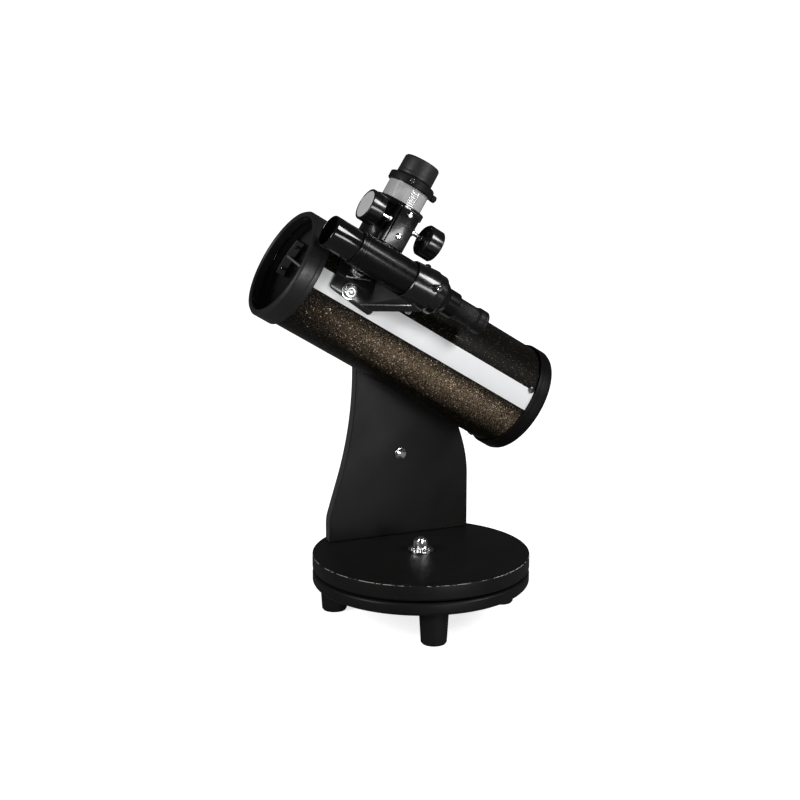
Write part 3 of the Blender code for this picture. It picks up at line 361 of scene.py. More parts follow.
class Surface:
    """A Principled material with its nodes added one call at a time."""

    def __init__(self, name, slot, **values):
        self.material = bpy.data.materials.new(name)
        self.material.use_nodes = True
        self.material["slot"] = slot
        self.tree = self.material.node_tree
        self.shader = self.tree.nodes["Principled BSDF"]
        for key, value in values.items():
            self.shader.inputs[key.replace("_", " ")].default_value = value
        self.place = self.tree.nodes.new("ShaderNodeTexCoord").outputs["Object"]

    def set(self, socket, source):
        self.tree.links.new(source, self.shader.inputs[socket])

    def feed(self, socket, value):
        if isinstance(value, bpy.types.NodeSocket):
            self.tree.links.new(value, socket)
        else:
            socket.default_value = value

    def math(self, operation, a, b=0.0):
        node = self.tree.nodes.new("ShaderNodeMath")
        node.operation = operation
        self.feed(node.inputs[0], a)
        self.feed(node.inputs[1], b)
        return node.outputs[0]

    def stretch(self, scale, frame_of=None):
        """The place on the piece in a local frame, scaled along its axes."""
        vector = self.place
        if frame_of is not None:
            place, turn, _ = frame_of.decompose()
            move = self.tree.nodes.new("ShaderNodeVectorMath")
            move.operation = "SUBTRACT"
            self.feed(move.inputs[0], vector)
            move.inputs[1].default_value = place * MM
            spin = self.tree.nodes.new("ShaderNodeVectorRotate")
            spin.rotation_type = "EULER_XYZ"
            spin.invert = True
            spin.inputs["Rotation"].default_value = turn.to_euler("XYZ")
            self.feed(spin.inputs["Vector"], move.outputs[0])
            vector = spin.outputs[0]
        size = self.tree.nodes.new("ShaderNodeVectorMath")
        size.operation = "MULTIPLY"
        self.feed(size.inputs[0], vector)
        size.inputs[1].default_value = scale
        return size.outputs[0]

    def parts(self, vector):
        node = self.tree.nodes.new("ShaderNodeSeparateXYZ")
        self.feed(node.inputs[0], vector)
        return node.outputs

    def noise(self, scale, detail=3.0, vector=None, roughness=0.55):
        node = self.tree.nodes.new("ShaderNodeTexNoise")
        self.feed(node.inputs["Vector"], vector or self.place)
        node.inputs["Scale"].default_value = scale
        node.inputs["Detail"].default_value = detail
        node.inputs["Roughness"].default_value = roughness
        return node.outputs["Fac"]

    def cells(self, scale, vector=None, output="Distance", feature="F1"):
        node = self.tree.nodes.new("ShaderNodeTexVoronoi")
        node.feature = feature
        self.feed(node.inputs["Vector"], vector or self.place)
        node.inputs["Scale"].default_value = scale
        return node.outputs[output]

    def ramp(self, source, low, high, start=0.0, end=1.0):
        """A number that runs from start to end as the source goes from low to high."""
        node = self.tree.nodes.new("ShaderNodeMapRange")
        self.feed(node.inputs["Value"], source)
        node.inputs["From Min"].default_value = low
        node.inputs["From Max"].default_value = high
        node.inputs["To Min"].default_value = start
        node.inputs["To Max"].default_value = end
        return node.outputs["Result"]

    def mix(self, share, a, b):
        node = self.tree.nodes.new("ShaderNodeMix")
        node.data_type = "RGBA"
        self.feed(node.inputs["Factor"], share)
        colour_a, colour_b, colour_result = node.inputs[6], node.inputs[7], node.outputs[2]
        for socket, value in ((colour_a, a), (colour_b, b)):
            self.feed(socket, (*value, 1.0) if isinstance(value, tuple) else value)
        return colour_result

    def from_axis(self, x, y):
        """The distance from the line where x and y are zero."""
        squares = self.math("ADD", self.math("MULTIPLY", x, x), self.math("MULTIPLY", y, y))
        return self.math("SQRT", squares)

    def bump(self, height, strength, depth):
        node = self.tree.nodes.new("ShaderNodeBump")
        node.inputs["Strength"].default_value = strength
        node.inputs["Distance"].default_value = depth * MM
        self.feed(node.inputs["Height"], height)
        self.set("Normal", node.outputs["Normal"])


def plastic(name, slot, dark, light, rough, grain=2500.0, depth=0.02, specular=0.35, coat=0.0):
    """Moulded plastic: fine grain, uneven gloss and a slightly mottled colour."""
    s = Surface(name, slot, Specular_IOR_Level=specular, Coat_Weight=coat, Coat_Roughness=0.08)
    s.set("Base Color", s.mix(s.noise(60.0, 4.0), dark, light))
    s.set("Roughness", s.ramp(s.noise(180.0, 3.0), 0.3, 0.7, rough - 0.06, rough + 0.08))
    s.bump(s.noise(grain, 2.0), 0.5, depth)
    return s.material


def laminate(name, radius=0.0, top=0.0, chips=0.0):
    """Black textured foil over board, with the foil chipped white along a round board's top rim."""
    s = Surface(name, "black_laminate", Specular_IOR_Level=0.12, Coat_Weight=0.1, Coat_Roughness=0.28)
    colour = s.mix(s.noise(45.0, 5.0), (0.005, 0.005, 0.005), (0.009, 0.0088, 0.0085))
    pebble = s.cells(950.0, feature="SMOOTH_F1")
    rough = s.ramp(s.noise(25.0, 4.0), 0.3, 0.7, 0.36, 0.5)
    if chips:
        x, y, z = s.parts(s.stretch((1, 1, 1), WORLD))
        depth = 0.4
        rim = s.math("GREATER_THAN", s.from_axis(x, y), (radius - depth) * MM)
        edge = s.math("GREATER_THAN", z, (top - depth) * MM)
        flaw = s.math("GREATER_THAN", s.noise(70.0, 6.0, roughness=0.72), chips)
        chip = s.math("MULTIPLY", s.math("MULTIPLY", rim, edge), flaw)
        colour = s.mix(chip, colour, (0.4, 0.39, 0.37))
    s.set("Base Color", colour)
    s.set("Roughness", rough)
    s.bump(pebble, 0.55, 0.05)
    return s.material


def metal(name, slot, colour, rough, streak=(900.0,) * 3, spread=0.05, frame_of=None, metallic=1.0):
    """Bare or plated metal with fine streaks in its gloss."""
    s = Surface(name, slot, Metallic=metallic)
    lines = s.noise(1.0, 4.0, s.stretch(streak, frame_of))
    s.set("Base Color", s.mix(s.noise(140.0, 3.0), tuple(c * 0.9 for c in colour), colour))
    s.set("Roughness", s.ramp(lines, 0.3, 0.7, max(rough - spread, 0.02), rough + spread))
    s.bump(lines, 0.2, 0.012)
    return s.material


def flake_paint():
    """Gloss black lacquer with fine bronze flakes, each tilted its own way, under a clear coat, with a
    painted bronze glow below the stripe.
    """
    s = Surface(
        "tube_lacquer", "flake_paint", Specular_IOR_Level=0.06, Coat_Weight=0.22,
        Coat_Roughness=0.05,
    )
    vector = s.stretch((1, 1, 1), TUBE)
    x, y, z = s.parts(vector)
    turn = s.math("ARCTAN2", s.math("MULTIPLY", y, -1.0), z)
    # Painted glow: the flakes are packed thickest, and the base turned bronze, along the near side below
    # the stripe where light falls, thinning out on every side.
    rise = s.ramp(turn, math.radians(100), math.radians(115))
    fall = s.ramp(turn, math.radians(118), math.radians(146), 1.0, 0.0)
    along = s.math("MULTIPLY", s.ramp(x, -0.135, -0.04, 0.16, 1.2), s.ramp(x, 0.02, 0.1, 1.0, 0.68))
    painted_glow_band = s.math("MULTIPLY", s.math("MULTIPLY", rise, fall), along)
    cloud = s.ramp(s.noise(420.0, 5.0, vector, 0.7), 0.32, 0.68, 0.35, 1.65)
    glow_and_cloud_density = s.math("MULTIPLY", painted_glow_band, cloud)
    red, green, blue = s.parts(s.cells(2900.0, vector, "Color"))
    flake = s.math("LESS_THAN", red, s.ramp(glow_and_cloud_density, 0.0, 1.5, 0.015, 0.6))
    shine = s.math("MULTIPLY", flake, s.ramp(green, 0.0, 1.0, 0.12, 0.6))
    # Painted glints: bright spots standing for the flakes' sparkle, packed into the painted glow band.
    spark = s.parts(s.cells(1500.0, vector, "Color"))[0]
    glint = s.math("LESS_THAN", spark, s.ramp(glow_and_cloud_density, 0.0, 1.5, 0.0, 0.06))
    # Painted glow: the base colour runs from black to dull bronze with the glow band's density.
    base = s.mix(glow_and_cloud_density, (0.004, 0.0037, 0.003), (0.032, 0.024, 0.016))
    colour = s.mix(shine, base, (0.62, 0.46, 0.3))
    s.set("Base Color", s.mix(s.math("MULTIPLY", glint, 0.9), colour, (0.95, 0.78, 0.58)))
    s.set("Roughness", s.ramp(blue, 0.0, 1.0, 0.3, 0.5))
    s.bump(s.math("MULTIPLY", green, flake), 0.4, 0.12)
    return s.material


def build_materials():
    chrome = (0.86, 0.86, 0.87)
    steel = (0.58, 0.58, 0.59)
    bank = {
        "laminate": laminate("arm_laminate"),
        "top_laminate": laminate("turntable_laminate", BOARD_R, TURNTABLE_TOP, 0.5),
        "low_laminate": laminate("ground_board_laminate", BOARD_R, GROUND_TOP, 0.7),
        "edge_band": plastic(
            "arm_edge_band", "black_laminate", (0.03,) * 3, (0.045,) * 3, 0.42, 900, 0.05,
        ),
        "foot": plastic("foot_rubber", "foot_plastic", (0.004,) * 3, (0.008,) * 3, 0.55, 1600, 0.06, 0.2),
        "satin": plastic(
            "moulded_black", "satin_plastic", (0.006,) * 3, (0.011,) * 3, 0.42, specular=0.18,
        ),
        "housing": plastic(
            "focuser_black", "satin_plastic", (0.004,) * 3, (0.008,) * 3, 0.2, 900, 0.03, 0.4, 0.3,
        ),
        "gloss": plastic(
            "finder_gloss", "gloss_plastic", (0.003,) * 3, (0.006,) * 3, 0.1, 700, 0.012, 0.3,
            0.35,
        ),
        "ring": plastic("ring_satin", "ring_plastic", (0.01,) * 3, (0.018,) * 3, 0.36, 1800, 0.04, 0.4),
        "rear_ring": plastic(
            "cell_satin", "ring_plastic", (0.003,) * 3, (0.006,) * 3, 0.42, 1800, 0.04, 0.1,
        ),
        "cap": plastic("cap_black", "cap_rubber", (0.014,) * 3, (0.022,) * 3, 0.4, 1500, 0.04, 0.45),
        "flock": plastic("tube_inside", "flake_paint", (0.055,) * 3, (0.08,) * 3, 0.6, 2600, 0.08, 0.3),
        "matt_metal": plastic(
            "matt_black_metal", "black_metal", (0.01,) * 3, (0.016,) * 3, 0.55, 2200, 0.04,
        ),
        "black_screw": plastic(
            "black_oxide", "black_screw", (0.008,) * 3, (0.014,) * 3, 0.3, 1200, 0.02, 0.7,
        ),
        "nylon": plastic("nylon_pad", "nylon", (0.5, 0.5, 0.47), (0.6, 0.6, 0.57), 0.5),
        "white": plastic(
            "stripe_paint", "white_paint", (0.86, 0.865, 0.875), (0.9, 0.905, 0.915), 0.32, 500,
            0.03,
        ),
        "pale": plastic("pale_disc", "pale_metal", (0.5,) * 3, (0.6,) * 3, 0.35, 900, 0.03),
        "chrome": metal("chrome_plate", "chrome", chrome, 0.11),
        "nut_chrome": metal("nut_plate", "chrome", (0.5, 0.5, 0.5), 0.22),
        "draw_chrome": metal(
            "drawtube_chrome", "chrome", chrome, 0.22, (700, 700, 60), 0.12, FOCUS, 0.55,
        ),
        "steel": metal("turned_steel", "steel", steel, 0.28, (1500, 1500, 1500), 0.08),
        "tube_satin": plastic(
            "finder_satin", "gloss_plastic", (0.003,) * 3, (0.006,) * 3, 0.26, 700, 0.02, 0.16,
            0.12,
        ),
        "mirror": metal("mirror_coat", "mirror", (0.93, 0.94, 0.95), 0.03, (200, 200, 200), 0.01),
    }
    bank["paint"] = flake_paint()
    lens = Surface(
        "coated_lens", "glass", Transmission_Weight=1.0, IOR=1.5, Coat_Weight=0.6,
        Coat_Roughness=0.03,
    )
    lens.set("Base Color", lens.mix(lens.noise(90.0, 2.0), (0.82, 0.88, 1.0), (0.92, 0.94, 1.0)))
    lens.set("Roughness", lens.ramp(lens.noise(400.0, 3.0), 0.3, 0.7, 0.01, 0.05))
    bank["lens"] = lens.material
    return bank


# ---------------------------------------------------------------- base


def build_base(m):
    for i, turn in enumerate((0.0, FOOT_SPREAD, -FOOT_SPREAD)):
        angle = math.radians(FRONT_FOOT_ANGLE + turn)
        spot = WORLD @ Matrix.Translation((FOOT_RING_R * math.cos(angle), FOOT_RING_R * math.sin(angle), 0))
        foot = [
            (14.0, 31.7), (14.0, 29.8), (13.7, 29.3), (12.05, 1.6), (10.9, 0.0), (5.4, 0.0),
            (5.0, 0.6),
        ]
        foot += [(5.0, 17.7), (2.4, 17.7), (2.4, 31.7)]
        piece(
            f"rubber_foot_{i + 1}", lathe(foot, 72, True, 0.4), spot, m["foot"], "base",
            f"foot_{i + 1}",
        )
        head = [(2.0, 31.7), (2.0, 17.6), (4.2, 17.6), (4.3, 16.6), (3.2, 15.2), (1.6, 14.9)]
        shape = solid(head, steps=32, edge=0.2)
        cross = cross_slot(2.2, 0.4, 13, 15.9, spot)
        name = f"foot_wood_screw_{i + 1}"
        piece(name, shape, spot, m["steel"], "base", f"foot_screw_{i + 1}", cutters=cross)
    ground = [*arc((101.5, 41.9), 2.5, 90, 0, 6), *arc((100.0, 36.0), 4.0, 0, -90, 7)]
    ground += [(9.0, 32.0), (9.0, 37.8), (4.3, 37.8), (4.3, 44.4)]
    piece("ground_disc", lathe(ground, 224, True, 0.1), WORLD, m["low_laminate"], "base", "ground_board")
    top = [*arc((103.3, 60.3), 0.7, 90, 0, 5), *arc((101.0, 49.0), 3.0, 0, -90, 7)]
    top += [(4.5, 46.0), (4.5, 61.0)]
    piece(
        "turntable_disc", lathe(top, 224, True, 0.1), WORLD, m["top_laminate"],
        "turntable_assembly", "turntable",
    )

    washer = [(12.5, 61.3), (12.5, 62.8), (4.4, 62.8), (4.4, 61.3)]
    piece("pivot_washer", lathe(washer, 96, True, 0.35), WORLD, m["chrome"], "base", "azimuth_washer")
    lock = [(9.3, 62.85), (9.3, 64.6), (8.4, 65.1), (4.4, 65.1), (4.4, 62.85)]
    teeth = outside(7, ribs(18, 1.0, 62.0, 64.8, 0.6))
    piece("pivot_lock_washer", lathe(lock, 144, True, 0.1, teeth), WORLD, m["chrome"], "base")
    piece("pivot_nut", hex_nut(13.0, 65.15, 72.6, 4.2), WORLD, m["chrome"], "base", "azimuth_nut")
    bolt = [*thread(4.0, 62.0, 74.5), (3.9, 37.4), (7.2, 37.4), (7.2, 33.0)]
    piece("pivot_bolt", solid(bolt, steps=48, edge=0.05), WORLD, m["chrome"], "base", "azimuth_bolt")


# ---------------------------------------------------------------- arm


def arm_outline():
    """The outline of the arm seen from the front, clockwise from the lower right corner."""
    bottom, right, left, top_r = 61.3, 75.8, -71.9, 43.3
    foot_r, waist_r, lean = 40.0, 368.0, 17.7
    shoulder_top, shoulder_drop = 250.0, 134.0
    points = [(right, bottom), (left, bottom)]
    points += arc((left + foot_r, 78.0), foot_r, 180, 180 - lean, 10)
    points += arc((-top_r - waist_r, 232.0), waist_r, -lean, 0, 30)
    points += arc((0.0, PIVOT_HEIGHT), top_r, 180, 0, 60)
    steps = 36
    for i in range(steps + 1):
        share = (1 - math.cos(math.pi * i / steps)) / 2
        points.append((top_r + (right - top_r) * share, shoulder_top - shoulder_drop * i / steps))
    return points


def build_arm(m):
    outline = [(x, -z) for x, z in arm_outline()]
    at = WORLD @ Matrix.Translation((0, ARM_Y, 0)) @ ACROSS
    side = (lambda p: abs(p.z) < 5.2, m["edge_band"])
    body = "turntable_assembly"
    piece("side_arm", extruded(outline, -6.0, 6.0, 0.8), at, m["laminate"], body, "arm", inside=side)
    spot = WORLD @ Matrix.Translation(ARM_BOLT_PLACE) @ Matrix.Rotation(math.radians(90), 4, "X")
    flange = solid([(3.0, 1.3), (5.4, 1.2), (5.7, 0.3), (5.5, 0.05)], steps=64, edge=0.2)
    piece("arm_bolt_washer", flange, spot, m["chrome"], body)
    head = [(2.2, 4.9), (4.3, 4.4), (5.3, 3.7), (5.3, 1.2)]
    tilted = spot @ Matrix.Rotation(math.radians(14), 4, "Z")
    piece(
        "arm_bolt_cap", solid(head, steps=72, edge=0.2, warp=hexagon(9.2)), tilted, m["chrome"],
        body, "arm_bolt",
    )

    grip = [
        (9.0, 91.6), (10.5, 91.3), (18.4, 91.3), (21.0, 88.6), (21.0, 75.6), (19.5, 74.6),
        (13.0, 73.2), (13.0, 69.3),
    ]

    def lobes(r, h, turn):
        if r < 14:
            return r, h
        return r - 2.6 * max(0.0, math.cos(8 * turn)) ** 1.5 * (r - 14) / 7, h

    knob = solid(grip, steps=192, edge=0.9, warp=lobes)
    name = "tension_knob_assembly"
    piece("tension_hand_knob", knob, PIVOT, m["satin"], name, "tension_knob")
    cap = solid([(6.8, 91.5), (7.6, 91.2), (7.8, 90.9)], steps=64, edge=0.1)
    piece("tension_knob_badge", cap, PIVOT, m["housing"], name)


# ---------------------------------------------------------------- tube


def pan_screw(name, matrix, head_r, low, high, shank, material, body, node):
    """A pan-head screw with a cross recess."""
    head = [
        (head_r * 0.45, high), (head_r * 0.85, high - 0.35), (head_r, low + 0.35),
        (head_r * 0.96, low),
    ]
    shape = solid([*head, (1.4, low), (1.4, shank)], steps=40, edge=0.12)
    reach, slot = head_r * 0.62, head_r * 0.13
    cross = cross_slot(reach, slot, high - 0.8, high + 1, matrix)
    piece(name, shape, matrix, material, body, node, cutters=cross)


def build_tube(m):
    body = "tube_assembly"
    wall = [(50.0, 114.6), (50.0, -157.0), (49.0, -157.0), (49.0, 114.6)]
    hole = (solid([(21.5, 60), (21.5, 30)], steps=96, edge=0), FOCUS)
    inner = (lambda p: math.hypot(p.x, p.y) < 49.5, m["flock"])
    shape = lathe(wall, 240, True, 0.0)
    piece("tube_wall", shape, TUBE_X, m["paint"], body, "optical_tube", cutters=[hole], inside=inner)
    stripe = wrapped(76.5, 99.0, -140.6, 102.3, 50.02, 50.32, 0.6, 0.08)
    piece("painted_stripe", stripe, TUBE, m["white"], body, "side_stripe")

    ring = [
        (52.4, -141.0), (52.4, -145.4), (52.15, -145.9), (52.4, -146.4), (52.4, -157.6),
        (50.9, -159.6), (49.2, -160.0),
    ]
    ring += [
        (47.6, -159.7), (46.8, -158.6), (46.8, -151.0), (47.5, -150.4), (47.5, -143.0),
        (48.7, -143.0),
    ]
    ring += [(48.7, -157.3), (50.35, -157.3), (50.35, -141.0)]
    notches = []
    for side in (-1, 1):
        recess = solid([(4.4, 60), (4.4, 50.2)], steps=40, edge=0)
        notches.append((recess, radial(STALK_X, STALK_ANGLE + side * STALK_SPREAD)))
    piece(
        "mouth_ring", lathe(ring, 240, True, 0.5), TUBE_X, m["ring"], body, "front_ring",
        cutters=notches,
    )

    rear = [
        (0.0, 108.0), (10.0, 108.0), (10.6, 108.5), (34.6, 108.5), (36.0, 109.4), (36.0, 116.6),
        (37.2, 118.0),
    ]
    rear += [
        (48.8, 118.0), (51.4, 117.0), (52.4, 114.6), (52.4, 107.2), (52.15, 106.8), (52.4, 106.4),
        (52.4, 102.6),
    ]
    rear += [(50.35, 102.6), (50.35, 114.9), (48.7, 114.9), (48.7, 94.0), (46.2, 94.0), (46.2, 112.5)]
    rear += [(42.0, 112.5), (42.0, 93.6), (38.3, 93.6), (38.3, 104.3), (0.0, 104.3)]
    piece("mirror_cell_ring", lathe(rear, 240, False, 0.6), TUBE_X, m["rear_ring"], body, "rear_cell")
    for i, angle in enumerate((76.5, 196.5, 316.5)):
        at = radial(98.5, angle)
        name = f"cell_pan_screw_{i + 1}"
        pan_screw(name, at, 3.2, 50.75, 52.6, 46.6, m["black_screw"], body, f"cell_screw_{i + 1}")
    for i, side in enumerate((-1, 1)):
        at = radial(STALK_X, STALK_ANGLE + side * STALK_SPREAD)
        name = f"stalk_pan_screw_{i + 1}"
        pan_screw(name, at, 2.9, 50.3, 51.6, 43.5, m["steel"], body, f"stalk_screw_{i + 1}")

    face = [(0.0, 104.0), (37.2, 104.0), (38.0, 103.2), (38.0, 94.4), (37.4, 94.0)]
    steps = 12
    for i in range(1, steps + 1):
        r = 37.4 * (1 - i / steps)
        face.append((r, 94.0 + (38.0**2 - r**2) / FOUR_FOCAL_LENGTHS))
    piece("main_mirror", lathe(face, 128, False, 0.0), TUBE_X, m["mirror"], body, "primary_mirror")
    keeper = [(42.0, 93.3), (42.0, 91.7), (36.6, 91.7), (36.6, 93.3)]
    piece(
        "mirror_keeper", lathe(keeper, 128, True, 0.3), TUBE_X, m["matt_metal"], body,
        "mirror_retainer",
    )


# ---------------------------------------------------------------- focuser


def saddle(low, radius=50.4):
    """A warp that drops a turned shape's foot onto the tube's curve."""

    def warp(r, h, turn):
        if h < low:
            h = math.sqrt(radius**2 - (r * math.sin(turn)) ** 2)
        return r, h

    return warp


def build_housing(m):
    body = "tube_assembly"
    barrel = [
        (24.0, 100.0), (24.0, 94.5), (22.6, 93.9), (22.6, 54.0), (22.6, 45.0), (19.9, 45.0),
        (19.9, 54.0), (19.9, 100.0),
    ]
    shape = lathe(barrel, 144, True, 0.45, saddle(50.0))
    slot = (box((-4.4, -30.0, 40.0), (4.4, -15.0, 120.0), 0), FOCUS)
    piece("focuser_barrel", shape, FOCUS, m["housing"], body, "focuser_housing", cutters=[slot])
    flange = wrapped(-36, 36, FOCUSER_X - 30, FOCUSER_X + 30, SADDLE_INNER, SADDLE_OUTER, 7.0, 0.6)
    hole = (solid([(20.2, 80), (20.2, 30)], steps=96, edge=0), FOCUS)
    piece("focuser_flange", flange, TUBE, m["housing"], body, cutters=[hole])
    fillet = lathe([(22.5, 57.5), (23.4, 55.0), (25.6, 52.9), (25.6, 46.0), (22.5, 46.0)], 144, True, 0.3)
    tube = lathe([(50.5, 40), (50.5, -40), (1, -40), (1, 40)], 160, True, 0)
    piece("focuser_foot", fillet, FOCUS, m["housing"], body, cutters=[(tube, FOCUS @ ALONG)])
    for i, side in enumerate((-1, 1)):
        low, high = sorted((side * 4.6, side * 11.6))
        cheek = box((low, -30.1, 60.0), (high, -16.0, 96.3), 0.7)
        piece(f"pinion_cheek_{i + 1}", cheek, FOCUS, m["housing"], body)
    cover = extruded([(-9.6, 60.0), (9.6, 60.0), (9.6, 96.3), (-9.6, 96.3)], 30.4, 32.2, 0.5, 3)
    turned = FOCUS @ Matrix.Rotation(math.radians(90), 4, "X")
    piece("pinion_plate", cover, turned, m["housing"], body, "pinion_cover")
    for i, height in enumerate((91.8, 70.4)):
        at = FOCUS @ Matrix.Translation((0, 0, height)) @ Matrix.Rotation(math.radians(90), 4, "X")
        name = f"plate_screw_{i + 1}"
        pan_screw(name, at, 2.9, 32.5, 34.3, 28.0, m["chrome"], body, f"cover_screw_{i + 1}")
    for i, side in enumerate((-1, 1)):
        collar = solid([(2.9, 14.2), (3.6, 13.8), (3.6, 11.9), (3.2, 11.7)], steps=48, edge=0.2)
        at = PINION if side > 0 else PINION @ Matrix.Rotation(math.pi, 4, "X")
        piece(f"shaft_bush_{i + 1}", collar, at, m["steel"], body)


def build_drawtube(m):
    draw = [(19.5, 116.7), (19.5, 56.0), (18.1, 56.0), (18.1, 116.7)]
    piece(
        "draw_tube", lathe(draw, 160, True, 0.25), FOCUS, m["draw_chrome"], "drawtube_assembly",
        "drawtube",
    )
    collar = [
        (16.4, 125.8), (17.6, 125.8), (18.4, 124.9), (21.0, 124.6), (22.1, 123.7), (22.1, 117.9),
        (21.5, 117.0),
    ]
    collar += [(17.8, 117.0), (17.8, 108.0), (15.95, 108.0), (15.95, 125.8)]
    piece(
        "eyepiece_clamp", lathe(collar, 144, True, 0.4), FOCUS, m["satin"], "drawtube_assembly",
        "eyepiece_collar",
    )
    for name, angle in (("set_boss", -114.0), ("thumb_boss", 6.0)):
        turned = Matrix.Rotation(math.radians(angle), 4, "Z") @ ALONG
        at = FOCUS @ Matrix.Translation((0, 0, COLLAR_SCREW_HEIGHT)) @ turned
        boss = solid([(2.9, 22.9), (3.3, 22.4), (3.6, 20.5)], steps=48, edge=0.2)
        piece(f"clamp_{name}", boss, at, m["satin"], "drawtube_assembly")
        if name == "set_boss":
            head = solid(
                [(1.6, 25.8), (2.3, 25.2), (2.3, 23.2), (1.4, 23.0), (1.4, 16.4)], steps=48,
                edge=0.15,
            )
            cutter = (box((-3, -0.35, 25.0), (3, 0.35, 27), 0), at)
            piece(
                "clamp_set_screw", head, at, m["chrome"], "collar_screw_body", "collar_screw",
                cutters=[cutter],
            )
        else:
            head = [(2.4, 29.6), (3.4, 28.9), (3.4, 24.6), (2.6, 24.0), (1.5, 23.6), (1.5, 16.4)]
            shape = solid(head, steps=96, edge=0.3, warp=ribs(16, 0.35, 24.4, 29.2))
            piece(
                "clamp_thumb_screw", shape, at, m["satin"], "collar_thumbscrew_body",
                "collar_thumbscrew",
            )
    cap = [(0.0, 143.1), (13.4, 143.1), (14.2, 143.5), (16.0, 143.5), (17.2, 141.9), (17.3, 138.0)]
    cap += [(17.4, 130.4), (17.1, 130.0), (17.45, 129.6), (17.5, 126.3), (15.6, 126.2), (15.6, 111.0)]
    cap += [(14.0, 111.0), (14.0, 141.3), (0.0, 141.3)]
    piece("end_cap", lathe(cap, 128, False, 0.45), FOCUS, m["cap"], "dust_cap_body", "dust_cap")


def build_pinion(m):
    shaft = solid([(2.0, 36.6), (2.0, -36.6)], steps=40, edge=0.3)
    piece("focus_shaft", shaft, PINION, m["chrome"], "pinion_assembly")
    for side, name in ((-1, "front"), (1, "rear")):
        at = PINION if side > 0 else PINION @ Matrix.Rotation(math.pi, 4, "X")
        grip = [
            (14.6, 39.6), (15.0, 39.1), (15.0, 26.4), (13.6, 24.9), (11.6, 24.8), (11.2, 25.4),
            (8.8, 25.4), (8.4, 24.6), (6.0, 24.4),
        ]
        if side < 0:
            grip = [(12.9, 38.9), (13.5, 39.6), *grip]
        shape = solid(grip, steps=240, edge=0.35, warp=ribs(60, 0.22, 27.2, 38.2, 0.7))
        piece(f"focus_grip_{name}", shape, at, m["housing"], "pinion_assembly", f"focus_knob_{name}")
        nut = hex_nut(5.4, 22.6, 24.5, 2.05)
        piece(f"grip_nut_{name}", nut, at, m["chrome"], "pinion_assembly")
        if side < 0:
            disc = solid([(11.8, 39.8), (12.8, 39.5), (12.8, 38.9)], steps=128, edge=0.3)
            piece("grip_disc", disc, at, m["pale"], "pinion_assembly", "knob_cap")


# ---------------------------------------------------------------- finder


